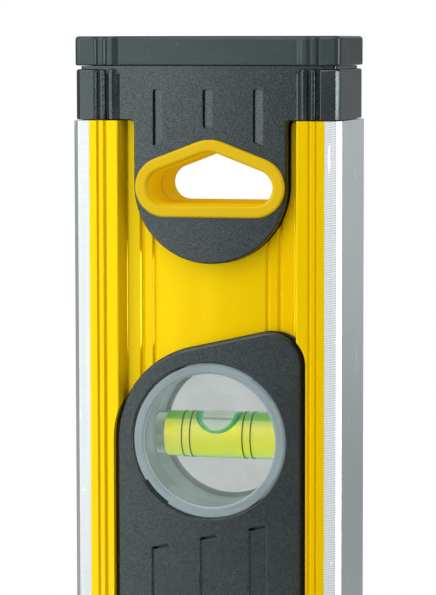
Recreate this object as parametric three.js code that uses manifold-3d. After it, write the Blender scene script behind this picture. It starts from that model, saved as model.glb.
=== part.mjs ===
// Spirit level: a hollow aluminium box beam with a plumb vial near each end, a level vial in the
// middle, and a push-fit end cap with a hang hole and a rubber pad at each end.
// The level stands on its end. +Z runs along its length, the front looks towards -Y, and the two
// milled measuring faces look towards +X and -X. The origin is the centre of the lower end.
// Sizes are in millimetres.

import * as THREE from 'three';
import { mergeVertices } from 'three/addons/utils/BufferGeometryUtils.js';
import Module from 'manifold-3d';

const wasm = await Module();
wasm.setup();

// ---- Driving dimensions ----

const LENGTH = 400;
const HALF_WIDTH = 30;
const HALF_DEPTH = 14;
const WEB_RECESS = 4.8;

const PAD_THICKNESS = 6;
const NECK_HEIGHT = 1.2;
const CAP_HEIGHT = 11.2;
const END_STACK = PAD_THICKNESS + NECK_HEIGHT + CAP_HEIGHT;
const BEAM_LENGTH = LENGTH - 2 * END_STACK;
const BEAM_END = BEAM_LENGTH / 2;

const FIT_GAP = 0.3;
const FACE_GAP = 0.1;
const THROUGH = 100;

const WEB_Y = HALF_DEPTH - WEB_RECESS;
const CAP_FACE_Y = HALF_DEPTH - 1.75;
const COVER_FACE_Y = HALF_DEPTH - 2;
const HOUSING_FACE_Y = HALF_DEPTH - 2.3;
const INSERT_FACE_Y = HALF_DEPTH - 0.95;
const INNER_WEB_Y = 7.2;
const SEAM_Y = 0.15;

const ARC_TOLERANCE = 0.1;
const SLANT = THREE.MathUtils.degToRad(12.7);

// ---- Outlines and solids ----

/** Number of straight segments that keeps an arc within the arc tolerance. */
function arcSegments(radius, sweep = 2 * Math.PI) {
  const step = 2 * Math.acos(1 - Math.min(ARC_TOLERANCE / radius, 0.5));
  return Math.max(1, Math.ceil(Math.abs(sweep) / step));
}

/** Points of an outline given as [x, y, radius] corners, each radius being a tangent arc. */
function outline(corners) {
  const points = [];
  corners.forEach(([x, y, radius = 0], index) => {
    const corner = new THREE.Vector2(x, y);
    if (radius === 0) {
      points.push(corner);
      return;
    }
    const [beforeX, beforeY] = corners.at(index - 1);
    const [afterX, afterY] = corners[(index + 1) % corners.length];
    const toBefore = new THREE.Vector2(beforeX - x, beforeY - y).normalize();
    const toAfter = new THREE.Vector2(afterX - x, afterY - y).normalize();
    const halfAngle = Math.acos(toBefore.dot(toAfter)) / 2;
    const bisector = toBefore.clone().add(toAfter).normalize();
    const centre = corner.clone().addScaledVector(bisector, radius / Math.sin(halfAngle));
    const start = corner.clone().addScaledVector(toBefore, radius / Math.tan(halfAngle));
    const turn = Math.sign(toAfter.cross(toBefore));
    const sweep = turn * (Math.PI - 2 * halfAngle);
    const steps = arcSegments(radius, sweep);
    for (let step = 0; step <= steps; step += 1) {
      const spoke = start.clone().sub(centre);
      points.push(spoke.rotateAround(new THREE.Vector2(), (sweep * step) / steps).add(centre));
    }
  });
  return points.filter((point, index) => point.distanceTo(points.at(index - 1)) > 0.002);
}

/** Rectangle centred on x = centreX from low to high, with every corner rounded. */
function roundedRectangle(halfWidth, low, high, radius, centreX = 0) {
  return outline([
    [centreX - halfWidth, low, radius],
    [centreX + halfWidth, low, radius],
    [centreX + halfWidth, high, radius],
    [centreX - halfWidth, high, radius],
  ]);
}

/** Round-ended window outline; equal half sizes give a circle. */
function windowOutline(halfWidth, halfLength) {
  return roundedRectangle(halfWidth, -halfLength, halfLength, halfWidth - 0.002);
}

/** Manifold solid from a closed three.js geometry. */
function solid(geometry) {
  geometry.deleteAttribute('normal');
  geometry.deleteAttribute('uv');
  const welded = mergeVertices(geometry, 0.0001);
  const index = welded.index.array;
  const kept = [];
  for (let i = 0; i < index.length; i += 3) {
    const [a, b, c] = index.subarray(i, i + 3);
    if (a !== b && b !== c && c !== a) {
      kept.push(a, b, c);
    }
  }
  const vertProperties = welded.attributes.position.array;
  const triVerts = new Uint32Array(kept);
  return new wasm.Manifold(new wasm.Mesh({ numProp: 3, vertProperties, triVerts }));
}

/** Slab with an outline drawn in X and Z, from frontY to backY. */
function slab(points, frontY, backY) {
  const shape = new THREE.Shape(points);
  const geometry = new THREE.ExtrudeGeometry(shape, { depth: backY - frontY, bevelEnabled: false });
  return solid(geometry.rotateX(Math.PI / 2).translate(0, backY, 0));
}

/** Bar with an outline drawn in X and Y, from lowZ to highZ. */
function bar(points, lowZ, highZ) {
  const shape = new THREE.Shape(points);
  const geometry = new THREE.ExtrudeGeometry(shape, { depth: highZ - lowZ, bevelEnabled: false });
  return solid(geometry.translate(0, 0, lowZ));
}

/** Box from its lowest to its highest corner. */
function block([lowX, lowY, lowZ], [highX, highY, highZ]) {
  const geometry = new THREE.BoxGeometry(highX - lowX, highY - lowY, highZ - lowZ);
  return solid(geometry.translate((lowX + highX) / 2, (lowY + highY) / 2, (lowZ + highZ) / 2));
}

/** Body of revolution about X, from [radius, x] points that run up the axis from low to high x. */
function turned(profile) {
  const points = profile.map(([radius, x]) => new THREE.Vector2(radius, x));
  const segments = arcSegments(Math.max(...points.map((point) => point.x)));
  return solid(new THREE.LatheGeometry(points, segments).rotateZ(-Math.PI / 2));
}

/** The same solid turned half a turn about Z, which puts a front feature on the rear. */
function toRear(part) {
  return part.rotate([0, 0, 180]);
}

/** A front feature together with its twin on the rear. */
function bothFaces(part) {
  return part.add(toRear(part));
}

/** Closed section from one quarter, given as [x, depth below the flange face, radius]. */
function section(quarter) {
  const front = [
    ...quarter.toReversed().map(([x, depth, radius]) => [-x, depth - HALF_DEPTH, radius]),
    ...quarter.map(([x, depth, radius]) => [x, depth - HALF_DEPTH, radius]),
  ];
  const rear = front.map(([x, y, radius]) => [-x, -y, radius]);
  return outline([...front, ...rear]);
}

// ---- Materials ----

const COLOURS = {
  paint: { color: 0xf6c400, roughness: 0.3, metalness: 0 },
  cap: { color: 0x3a4141, roughness: 0.65, metalness: 0 },
  pad: { color: 0x465052, roughness: 0.75, metalness: 0 },
  insert: { color: 0xf0bd00, roughness: 0.4, metalness: 0 },
  cover: { color: 0x30373a, roughness: 0.7, metalness: 0 },
  clear: { color: 0xc8d2d4, roughness: 0.1, metalness: 0 },
  tube: { color: 0xdfe8dc, roughness: 0.05, metalness: 0 },
  plug: { color: 0xd8dedb, roughness: 0.4, metalness: 0 },
  fluid: { color: 0xc8dc32, roughness: 0.05, metalness: 0 },
  bubble: { color: 0xe6f0e1, roughness: 0.05, metalness: 0 },
};

/** Named mesh with a material of its own. */
function piece(name, part, look) {
  const mesh = part.getMesh();
  const geometry = new THREE.BufferGeometry();
  geometry.setAttribute('position', new THREE.BufferAttribute(mesh.vertProperties, 3));
  geometry.setIndex(new THREE.BufferAttribute(mesh.triVerts, 1));
  geometry.computeVertexNormals();
  const named = new THREE.Mesh(geometry, new THREE.MeshStandardMaterial(COLOURS[look]));
  named.name = name;
  return named;
}

// ---- Plumb and level vial units, each about its own centre ----

const COVER_HALF_WIDTH = 20.8;
const COVER_CORNER = 7;
const POCKET_GAP = 1;
const COLLAR_WALL = 0.7;
const COLLAR_OVERLAP = 0.5;
const RECESS_DEPTH = 0.6;
const RECESS_HALF_WIDTH = 1.95;
const RECESS_PITCH = 10.95;
const RECESS_CORNER = 0.4;
const RECESS_FOOT = 6;

const HOUSING_WALL = 1.3;
const LIP_WIDTH = 2.2;
const LIP_DEPTH = 1.1;
const PANE_THICKNESS = 1;
const NOTCH_HALF_SWEEP = 12;
const NOTCH_WIDTH = 0.8;
const NOTCH_DEPTH = 1.4;

const TUBE_RADIUS = 5.25;
const BORE_RADIUS = 4.6;
const TUBE_TAPER = 0.1;
const TUBE_END_WALL = 0.8;
const PLUG_THICKNESS = 2.4;
const NUB_RADIUS = 0.9;
const NUB_TIP_RADIUS = 0.7;
const NUB_LENGTH = 1;
const FLUID_RADIUS = 4.3;
const FLUID_SIDE_GAP = 0.25;
const BUBBLE_HALF_LENGTH = 5.4;
const BUBBLE_HALF_DEPTH = 3.2;
const BUBBLE_HALF_HEIGHT = 2.45;
const BUBBLE_RISE = 1.75;

const PLUMB_DISTANCE = 70.4;
const PLUMB = {
  window: { halfWidth: 17.3, halfLength: 17.3 },
  windowX: 0,
  tubeHalfLength: 14.35,
  coverTop: COVER_HALF_WIDTH / Math.cos(SLANT),
  coverBottom: -51.7,
  firstCorner: COVER_HALF_WIDTH - 0.01,
  recessTop: -21.2,
  recessColumns: [-1, 0, 1],
  notchAngles: [44.5, 224.5],
};
const LEVEL = {
  window: { halfWidth: 10.3, halfLength: 24 },
  windowX: 7.6,
  tubeHalfLength: 20,
  coverTop: 34,
  coverBottom: -34,
  firstCorner: COVER_CORNER,
  recessTop: 25,
  recessColumns: [-1],
  notchAngles: [],
};

/** Slanted height at x of a line that crosses the centre line at height. */
function slanted(x, height) {
  return height + x * Math.tan(SLANT);
}

/** Four-sided plate outline with upright sides and slanted ends. */
function slantedPlate(halfWidth, bottom, top, [topLeft, topRight, bottomRight, bottomLeft]) {
  return outline([
    [-halfWidth, slanted(-halfWidth, top), topLeft],
    [-halfWidth, slanted(-halfWidth, bottom), bottomLeft],
    [halfWidth, slanted(halfWidth, bottom), bottomRight],
    [halfWidth, slanted(halfWidth, top), topRight],
  ]);
}

/** Window outline of a vial unit, made smaller all round by inset. */
function unitWindow({ window, windowX }, inset) {
  const points = windowOutline(window.halfWidth - inset, window.halfLength - inset);
  return points.map((point) => new THREE.Vector2(point.x + windowX, point.y));
}

/** Outline of a unit's cover, made larger all round by growth. */
function coverOutline(unit, growth) {
  const corners = [unit.firstCorner, COVER_CORNER, COVER_CORNER, COVER_CORNER];
  const rise = growth / Math.cos(SLANT);
  return slantedPlate(
    COVER_HALF_WIDTH + growth,
    unit.coverBottom - rise,
    unit.coverTop + rise,
    corners.map((radius) => radius + growth),
  );
}

/** Material taken out of the front of the beam: the cover's pocket, and the window through it. */
function beamCutForUnit(unit) {
  const hole = unitWindow(unit, -COLLAR_WALL - FIT_GAP);
  const pocket = slab(coverOutline(unit, POCKET_GAP), -THROUGH, -WEB_Y);
  return pocket.add(slab(hole, -THROUGH, 0));
}

/** Dark cover plate with its window, locating collar and shallow upright recesses. */
function cover(unit) {
  const seat = -WEB_Y - FACE_GAP;
  const collar = unitWindow(unit, -COLLAR_WALL);
  let part = slab(coverOutline(unit, 0), -COVER_FACE_Y, seat);
  part = part.add(slab(collar, seat - COLLAR_OVERLAP, -INNER_WEB_Y + FIT_GAP));
  part = part.subtract(slab(unitWindow(unit, 0), -THROUGH, 0));
  for (const column of unit.recessColumns) {
    part = part.subtract(coverRecess(unit, column * RECESS_PITCH));
  }
  return part;
}

/** One shallow recess in a cover, with ends on the cover's slant. */
function coverRecess(unit, x) {
  const low = unit.coverBottom + RECESS_FOOT;
  const left = x - RECESS_HALF_WIDTH;
  const right = x + RECESS_HALF_WIDTH;
  const points = outline([
    [left, slanted(left, unit.recessTop), RECESS_CORNER],
    [left, slanted(left, low), RECESS_CORNER],
    [right, slanted(right, low), RECESS_CORNER],
    [right, slanted(right, unit.recessTop), RECESS_CORNER],
  ]);
  return slab(points, -THROUGH, -COVER_FACE_Y + RECESS_DEPTH);
}

/** Clear housing half: a rim with a lip, closed by a pane, open at the seam between the halves. */
function housing(unit) {
  const outer = unitWindow(unit, FIT_GAP);
  const opening = unitWindow(unit, FIT_GAP + LIP_WIDTH);
  const inner = unitWindow(unit, FIT_GAP + HOUSING_WALL);
  const paneY = -HOUSING_FACE_Y + LIP_DEPTH;
  let part = slab(outer, -HOUSING_FACE_Y, -SEAM_Y);
  part = part.subtract(slab(opening, -THROUGH, paneY));
  part = part.subtract(slab(inner, paneY + PANE_THICKNESS, THROUGH));
  for (const angle of unit.notchAngles) {
    part = part.subtract(rimNotch(unit.window.halfWidth, angle));
  }
  return part;
}

/** Shallow finger notch in the outer edge of a round rim, centred on an angle in degrees. */
function rimNotch(radius, angle) {
  const ring = [];
  for (const [side, reach] of [[1, radius - FIT_GAP - NOTCH_WIDTH], [-1, radius + FIT_GAP]]) {
    for (let step = -2; step <= 2; step += 1) {
      const turn = THREE.MathUtils.degToRad(angle + (side * step * NOTCH_HALF_SWEEP) / 2);
      ring.push(new THREE.Vector2(reach * Math.cos(turn), reach * Math.sin(turn)));
    }
  }
  return slab(ring.toReversed(), -THROUGH, -HOUSING_FACE_Y + NOTCH_DEPTH);
}

/** Clear vial tube along X, closed at its +X end. */
function vialTube(halfLength) {
  return turned([
    [0, halfLength - TUBE_END_WALL],
    [BORE_RADIUS, halfLength - TUBE_END_WALL],
    [BORE_RADIUS, -halfLength],
    [TUBE_RADIUS - TUBE_TAPER, -halfLength],
    [TUBE_RADIUS + TUBE_TAPER, halfLength],
    [0, halfLength],
  ]);
}

/** Plug in the open end of the tube, with a small locating nub. */
function vialPlug(halfLength) {
  const plugRadius = BORE_RADIUS - FACE_GAP;
  return turned([
    [0, -halfLength - NUB_LENGTH],
    [NUB_TIP_RADIUS, -halfLength - NUB_LENGTH],
    [NUB_RADIUS, -halfLength],
    [plugRadius, -halfLength],
    [plugRadius, -halfLength + PLUG_THICKNESS],
    [0, -halfLength + PLUG_THICKNESS],
  ]);
}

/** Vial liquid, with an open channel along its top where the bubble runs. */
function vialFluid(halfLength) {
  const low = -halfLength + PLUG_THICKNESS + FLUID_SIDE_GAP;
  const high = halfLength - TUBE_END_WALL - FLUID_SIDE_GAP;
  const column = turned([[0, low], [FLUID_RADIUS, low], [FLUID_RADIUS, high], [0, high]]);
  const segments = arcSegments(BUBBLE_HALF_DEPTH);
  const channel = new THREE.CylinderGeometry(1, 1, THROUGH, segments).rotateZ(Math.PI / 2);
  channel.scale(1, BUBBLE_HALF_DEPTH + FIT_GAP, BUBBLE_HALF_HEIGHT + FIT_GAP);
  return column.subtract(solid(channel.translate(0, 0, BUBBLE_RISE)));
}

/** Gas bubble: an oval drop pressed against the top of the bore. */
function vialBubble() {
  const drop = new THREE.SphereGeometry(1, 16, 10).rotateZ(Math.PI / 2);
  drop.scale(BUBBLE_HALF_LENGTH, BUBBLE_HALF_DEPTH, BUBBLE_HALF_HEIGHT);
  const bore = turned([
    [0, -BUBBLE_HALF_LENGTH],
    [FLUID_RADIUS, -BUBBLE_HALF_LENGTH],
    [FLUID_RADIUS, BUBBLE_HALF_LENGTH],
    [0, BUBBLE_HALF_LENGTH],
  ]);
  return solid(drop.translate(0, 0, BUBBLE_RISE)).intersect(bore);
}

/** Covers and housing halves of one vial unit, front and rear. */
function unitCasing(name, unit) {
  const group = new THREE.Group();
  group.add(piece(`${name}_cover_front`, cover(unit), 'cover'));
  group.add(piece(`${name}_cover_rear`, rearTwin(cover(unit), unit), 'cover'));
  group.add(piece(`${name}_housing_front`, housing(unit), 'clear'));
  group.add(piece(`${name}_housing_rear`, rearTwin(housing(unit), unit), 'clear'));
  return group;
}

/** Rear copy of a front piece: turned about Z, or mirrored where the window is off centre. */
function rearTwin(part, unit) {
  return unit.windowX === 0 ? toRear(part) : part.mirror([0, 1, 0]);
}

/** Tube, plug and liquid of one vial, along X, with the bubble's channel towards +Z. */
function vialParts(name, unit) {
  const group = new THREE.Group();
  group.add(piece(`${name}_tube`, vialTube(unit.tubeHalfLength), 'tube'));
  group.add(piece(`${name}_plug`, vialPlug(unit.tubeHalfLength), 'plug'));
  group.add(piece(`${name}_fluid`, vialFluid(unit.tubeHalfLength), 'fluid'));
  return group;
}

// ---- Hang hole and end cap, with z = 0 at the end of the beam ----

const ROOF_SLOPE = THREE.MathUtils.degToRad(21);
const HANG_HALF_WIDTH = 16.75;
const HANG_SIDE_RADIUS = 6.6;
const HANG_CENTRE_Z = -14.5;
const HANG_APEX_RADIUS = 8;
const HANG_RIM = 2.75;
const LINER_INSET = 1.15;

/** Hang-hole outline: flat floor, half-round sides and a gabled roof, made smaller by inset. */
function hangOutline(inset) {
  const radius = HANG_SIDE_RADIUS - inset;
  const centreX = HANG_HALF_WIDTH - HANG_SIDE_RADIUS;
  const roofHeight = centreX * Math.sin(ROOF_SLOPE) + radius;
  const apexZ = HANG_CENTRE_Z + roofHeight / Math.cos(ROOF_SLOPE);
  const side = centreX + radius;
  const eavesZ = apexZ - side * Math.tan(ROOF_SLOPE);
  return outline([
    [-side, HANG_CENTRE_Z - radius, radius],
    [side, HANG_CENTRE_Z - radius, radius],
    [side, eavesZ, radius],
    [0, apexZ, HANG_APEX_RADIUS - inset],
    [-side, eavesZ, radius],
  ]);
}

const TONGUE_HALF_WIDTH = 17.6;
const TONGUE_BOTTOM = -31.3;
const SLOT_HALF_WIDTH = 1.1;
const SLOT_X = 11.2;
const SLOT_TOP = 6.8;
const SLOT_DEPTH = 1.1;
const SLOT_CORNER = 0.6;
const MIDDLE_SLOT_LOW = -1.6;
const OUTER_SLOT_LOW = -6.6;
const SLOT_CLEARANCE = 2.6;

const BODY_LOW = 0.2;
const NECK_HALF_WIDTH = 28.6;
const NECK_HALF_DEPTH = 12.4;
const NECK_CORNER = 0.8;
const STUD_HALF_WIDTH = 18;
const STUD_HALF_DEPTH = 6;
const STUD_CORNER = 1;
const STUD_HEIGHT = 3;
const TONGUE_TOP = 3;

const FINGER_INNER_X = 23.9;
const FINGER_OUTER_X = 27.2;
const FINGER_HALF_DEPTH = 11.2;
const FINGER_LENGTH = 15;

const TONGUE_WALL = 2.6;
const TONGUE_HOLLOW_HALF_DEPTH = 9.6;
const BOSS_WALL = 1.8;
const UPPER_HOLLOW_HALF_WIDTH = 22.3;
const UPPER_HOLLOW_HALF_DEPTH = 6.8;
const UPPER_HOLLOW_TOP = 8.2;
const DRAIN_HALF_WIDTH = 7;
const DRAIN_HALF_DEPTH = 6;
const DRAIN_TOP = -24;
const DRAIN_BOTTOM = -40;

const BEAM_QUARTER = [
  [12.25, WEB_RECESS],
  [12.75, WEB_RECESS + 0.45],
  [13.25, WEB_RECESS],
  [14.95, WEB_RECESS],
  [15.55, WEB_RECESS + 0.55],
  [16.15, WEB_RECESS],
  [18.8, WEB_RECESS, 1.4],
  [20, 0.5, 0.25],
  [21.65, 0.6, 0.25],
  [22.45, 2.2],
  [23.25, 0.2, 0.25],
  [24.15, 0.2],
  [24.4, 0.6],
  [24.65, 0],
  [HALF_WIDTH, 0, 1],
];
const CHAMBER_QUARTER = [
  [23.2, HALF_DEPTH - INNER_WEB_Y, 0.6],
  [23.2, 2.4, 0.6],
  [27.6, 2.4, 1],
];
const CAP_QUARTER = [
  [20.2, 1.75, 0.3],
  [21.2, 0.9, 0.5],
  [22.2, 0.9, 0.4],
  [22.8, 1.9, 0.2],
  [23.4, 0.7, 0.4],
  [24.3, 0.7, 0.4],
  [24.7, 1.3, 0.2],
  [25.1, 0.5, 0.4],
  [29.3, 0.5, 1.1],
];
const PAD_QUARTER = [
  [20.2, 1.2, 0.3],
  [21.1, 0.6, 0.4],
  [22.3, 0.6, 0.4],
  [22.7, 1, 0.2],
  [23.2, 0.5, 0.4],
  [24.3, 0.5, 0.4],
  [24.7, 0.9, 0.2],
  [25.1, 0.3, 0.4],
  [29.7, 0.3, 1.3],
];

/** U-shaped tongue outline, reaching down from height to bottom. */
function tongueOutline(halfWidth, bottom, height) {
  const radius = halfWidth - 0.01;
  return outline([
    [-halfWidth, height],
    [-halfWidth, bottom, radius],
    [halfWidth, bottom, radius],
    [halfWidth, height],
  ]);
}

/** Three upright slots in the face of a cap, the outer ones cut short beside the hang hole. */
function faceSlots() {
  let slots = wasm.Manifold.union([]);
  for (const x of [-SLOT_X, 0, SLOT_X]) {
    const low = x === 0 ? MIDDLE_SLOT_LOW : OUTER_SLOT_LOW;
    const points = roundedRectangle(SLOT_HALF_WIDTH, low, SLOT_TOP, SLOT_CORNER, x);
    slots = slots.add(slab(points, -THROUGH, -CAP_FACE_Y + SLOT_DEPTH));
  }
  return slots.subtract(slab(hangOutline(-SLOT_CLEARANCE), -THROUGH, 0));
}

/** Hollow of the moulding around the hang-hole boss, open towards the inside of the beam. */
function capHollow() {
  const halfWidth = TONGUE_HALF_WIDTH - TONGUE_WALL;
  const tongueHollow = tongueOutline(halfWidth, TONGUE_BOTTOM + TONGUE_WALL, TONGUE_TOP);
  const boss = slab(hangOutline(LINER_INSET - FIT_GAP - BOSS_WALL), -THROUGH, THROUGH);
  const upper = block(
    [-UPPER_HOLLOW_HALF_WIDTH, -UPPER_HOLLOW_HALF_DEPTH, -1],
    [UPPER_HOLLOW_HALF_WIDTH, UPPER_HOLLOW_HALF_DEPTH, UPPER_HOLLOW_TOP],
  );
  const drain = block(
    [-DRAIN_HALF_WIDTH, -DRAIN_HALF_DEPTH, DRAIN_BOTTOM],
    [DRAIN_HALF_WIDTH, DRAIN_HALF_DEPTH, DRAIN_TOP],
  );
  const hollow = slab(tongueHollow, -TONGUE_HOLLOW_HALF_DEPTH, TONGUE_HOLLOW_HALF_DEPTH);
  return hollow.add(upper).subtract(boss).add(drain);
}

/** Stud that carries the rubber pad, made larger all round by growth. */
function studOutline(growth) {
  const halfDepth = STUD_HALF_DEPTH + growth;
  return roundedRectangle(STUD_HALF_WIDTH + growth, -halfDepth, halfDepth, STUD_CORNER);
}

/** End cap: fluted body, neck and stud for the pad, tongue, and two fingers that grip the beam. */
function endCap() {
  const neckTop = CAP_HEIGHT + NECK_HEIGHT;
  const neck = roundedRectangle(NECK_HALF_WIDTH, -NECK_HALF_DEPTH, NECK_HALF_DEPTH, NECK_CORNER);
  const tongue = tongueOutline(TONGUE_HALF_WIDTH, TONGUE_BOTTOM, TONGUE_TOP);
  const finger = block(
    [FINGER_INNER_X, -FINGER_HALF_DEPTH, -FINGER_LENGTH],
    [FINGER_OUTER_X, FINGER_HALF_DEPTH, 1],
  );
  let cap = bar(section(CAP_QUARTER), BODY_LOW, CAP_HEIGHT);
  cap = cap.add(bar(neck, CAP_HEIGHT - 1, neckTop));
  cap = cap.add(bar(studOutline(0), CAP_HEIGHT, neckTop + STUD_HEIGHT));
  cap = cap.add(slab(tongue, -CAP_FACE_Y, CAP_FACE_Y));
  cap = cap.add(bothFaces(finger));
  cap = cap.subtract(capHollow());
  cap = cap.subtract(slab(hangOutline(LINER_INSET - FIT_GAP), -THROUGH, THROUGH));
  return cap.subtract(bothFaces(faceSlots()));
}

/** Rubber pad, with a blind pocket over the stud of the cap. */
function endPad() {
  const low = CAP_HEIGHT + NECK_HEIGHT + FACE_GAP;
  const pocket = bar(studOutline(FIT_GAP), low - 1, low + STUD_HEIGHT + FIT_GAP);
  return bar(section(PAD_QUARTER), low, END_STACK).subtract(pocket);
}

/** Front half of the hang-hole insert: a proud rim and a liner that runs to the seam. */
function hangInsert() {
  const underRim = -CAP_FACE_Y - FACE_GAP;
  const rim = slab(hangOutline(0), -INSERT_FACE_Y, underRim);
  const liner = slab(hangOutline(LINER_INSET), underRim - FACE_GAP, -SEAM_Y);
  return rim.add(liner).subtract(slab(hangOutline(HANG_RIM), -THROUGH, THROUGH));
}

/** Cap, pad and hang-hole insert of one end. */
function endAssembly(name) {
  const group = new THREE.Group();
  group.add(piece(`${name}_end_cap`, endCap(), 'cap'));
  group.add(piece(`${name}_end_pad`, endPad(), 'pad'));
  group.add(piece(`${name}_hang_insert_front`, hangInsert(), 'insert'));
  group.add(piece(`${name}_hang_insert_rear`, toRear(hangInsert()), 'insert'));
  return group;
}

// ---- Beam, about the centre of the level ----

const TOP_WINDOW_HALF_LENGTH = 17;
const TOP_WINDOW_HALF_DEPTH = 5.5;
const TOP_WINDOW_LOW_X = 25;
const TOP_FLANGE_THICKNESS = 2.4;
const LENS_SINK = 0.4;
const LENS_ROOT = 1;
const LENS_FLANGE_THICKNESS = 1.5;
const LENS_FLANGE_DEPTH = 1.6;
const LENS_FLANGE_LENGTH = 2;
const NOTCH_MOUTH = 5;

/** Notch in the webs of the beam for a cap's tongue, with rounded corners at its mouth. */
function tongueNotch() {
  const halfWidth = TONGUE_HALF_WIDTH + FIT_GAP;
  const radius = halfWidth - 0.01;
  const mouth = outline([
    [-halfWidth - NOTCH_MOUTH, NOTCH_MOUTH],
    [-halfWidth - NOTCH_MOUTH, 0],
    [-halfWidth, 0, 1],
    [-halfWidth, TONGUE_BOTTOM - FIT_GAP, radius],
    [halfWidth, TONGUE_BOTTOM - FIT_GAP, radius],
    [halfWidth, 0, 1],
    [halfWidth + NOTCH_MOUTH, 0],
    [halfWidth + NOTCH_MOUTH, NOTCH_MOUTH],
  ]);
  return slab(mouth, -THROUGH, THROUGH);
}

/** Half turn about Y, which carries a feature of the upper end to the lower end. */
function toLowerEnd(part) {
  return part.rotate([0, 180, 0]);
}

/** Hollow extrusion, with its notches, vial windows, cover pockets and top-reading window. */
function boxBeam() {
  const shell = bar(section(BEAM_QUARTER), -BEAM_END, BEAM_END);
  let beam = shell.subtract(bar(section(CHAMBER_QUARTER), -BEAM_END - 1, BEAM_END + 1));
  const notch = tongueNotch().translate([0, 0, BEAM_END]);
  const plumbCut = bothFaces(beamCutForUnit(PLUMB)).translate([0, 0, BEAM_END - PLUMB_DISTANCE]);
  for (const cut of [notch, plumbCut]) {
    beam = beam.subtract(cut).subtract(toLowerEnd(cut));
  }
  const levelCut = beamCutForUnit(LEVEL);
  beam = beam.subtract(levelCut).subtract(levelCut.mirror([0, 1, 0]));
  const halfDepth = TOP_WINDOW_HALF_DEPTH;
  const halfLength = TOP_WINDOW_HALF_LENGTH;
  const low = [TOP_WINDOW_LOW_X, -halfDepth, -halfLength];
  return beam.subtract(block(low, [THROUGH, halfDepth, halfLength]));
}

/** Clear lens in the +X flange for reading the level vial from above, with a hidden flange. */
function topWindow() {
  const inner = HALF_WIDTH - TOP_FLANGE_THICKNESS - FACE_GAP;
  const depth = TOP_WINDOW_HALF_DEPTH - FACE_GAP;
  const length = TOP_WINDOW_HALF_LENGTH - FACE_GAP;
  const flangeX = inner - LENS_FLANGE_THICKNESS;
  const flangeY = depth + LENS_FLANGE_DEPTH;
  const flangeZ = length + LENS_FLANGE_LENGTH;
  const lens = block([inner - LENS_ROOT, -depth, -length], [HALF_WIDTH - LENS_SINK, depth, length]);
  return lens.add(block([flangeX, -flangeY, -flangeZ], [inner, flangeY, flangeZ]));
}

// ---- Assembly ----

/** Bubble at its rest place along the vial's own X. */
function bubblePiece(name, x) {
  const bubble = piece(`${name}_bubble`, vialBubble(), 'bubble');
  bubble.position.x = x;
  return bubble;
}

/** Everything at one end, in a group whose origin is the centre of the level. */
function levelEnd(name) {
  const end = new THREE.Group();
  const cap = endAssembly(name);
  cap.position.z = BEAM_END;
  const casing = unitCasing(`${name}_plumb`, PLUMB);
  casing.position.z = BEAM_END - PLUMB_DISTANCE;
  end.add(cap, casing);
  return end;
}

/** Vial contents of one plumb unit; the bubble stays towards +Z at both ends. */
function plumbVial(name, z) {
  const vial = vialParts(`${name}_plumb`, PLUMB);
  vial.add(bubblePiece(`${name}_plumb`, 0));
  vial.position.z = z;
  return vial;
}

/** Vial contents of the level unit, along Z, with the bubble run on the +X side. */
function levelVial() {
  const vial = vialParts('level', LEVEL);
  const channelEnd = PLUG_THICKNESS + FLUID_SIDE_GAP - LEVEL.tubeHalfLength;
  vial.add(bubblePiece('level', channelEnd + FIT_GAP + BUBBLE_HALF_LENGTH));
  vial.rotation.y = Math.PI / 2;
  vial.position.x = LEVEL.windowX;
  return vial;
}

const spiritLevel = new THREE.Group();
const lowerEnd = levelEnd('lower');
lowerEnd.rotation.y = Math.PI;
spiritLevel.add(piece('box_beam', boxBeam(), 'paint'));
spiritLevel.add(piece('top_window', topWindow(), 'clear'));
spiritLevel.add(levelEnd('upper'), lowerEnd);
spiritLevel.add(plumbVial('upper', BEAM_END - PLUMB_DISTANCE));
spiritLevel.add(plumbVial('lower', PLUMB_DISTANCE - BEAM_END));
spiritLevel.add(unitCasing('level', LEVEL), levelVial());
spiritLevel.position.z = LENGTH / 2;

export default spiritLevel;
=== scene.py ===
"""Spirit level: the visible surfaces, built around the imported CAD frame.

Lengths in the building functions are millimetres in the frame's own axes: +Z up the level, -Y
out of the front, +X out of the measuring face with the top window. Meshes are scaled to metres
when they are finished. Lengths inside node materials are metres.
"""
import math

import bmesh
import bpy
from mathutils import Matrix, Vector


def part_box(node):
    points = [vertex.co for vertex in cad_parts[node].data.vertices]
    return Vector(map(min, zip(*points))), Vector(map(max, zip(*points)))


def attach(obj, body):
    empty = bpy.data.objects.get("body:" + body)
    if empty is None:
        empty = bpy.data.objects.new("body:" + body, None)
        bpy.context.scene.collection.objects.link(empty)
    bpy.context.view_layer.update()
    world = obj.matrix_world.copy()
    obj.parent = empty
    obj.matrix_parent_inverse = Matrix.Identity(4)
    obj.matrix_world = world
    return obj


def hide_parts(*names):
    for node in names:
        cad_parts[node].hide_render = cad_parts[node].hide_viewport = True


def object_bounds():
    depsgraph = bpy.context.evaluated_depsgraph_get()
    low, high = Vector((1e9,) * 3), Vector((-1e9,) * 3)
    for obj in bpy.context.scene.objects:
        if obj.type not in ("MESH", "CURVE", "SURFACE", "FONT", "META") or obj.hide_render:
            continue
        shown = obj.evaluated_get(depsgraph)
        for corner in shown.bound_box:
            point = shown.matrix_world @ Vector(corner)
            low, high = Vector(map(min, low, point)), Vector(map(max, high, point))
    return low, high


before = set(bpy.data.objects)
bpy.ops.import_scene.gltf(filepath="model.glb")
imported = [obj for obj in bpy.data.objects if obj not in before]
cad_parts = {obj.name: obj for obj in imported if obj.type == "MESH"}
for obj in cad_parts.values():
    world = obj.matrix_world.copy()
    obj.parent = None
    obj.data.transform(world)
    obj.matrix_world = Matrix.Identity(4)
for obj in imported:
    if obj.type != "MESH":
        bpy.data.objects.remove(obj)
cad_low, cad_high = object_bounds()

MM = 0.001


# ---- places taken from the frame

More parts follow.
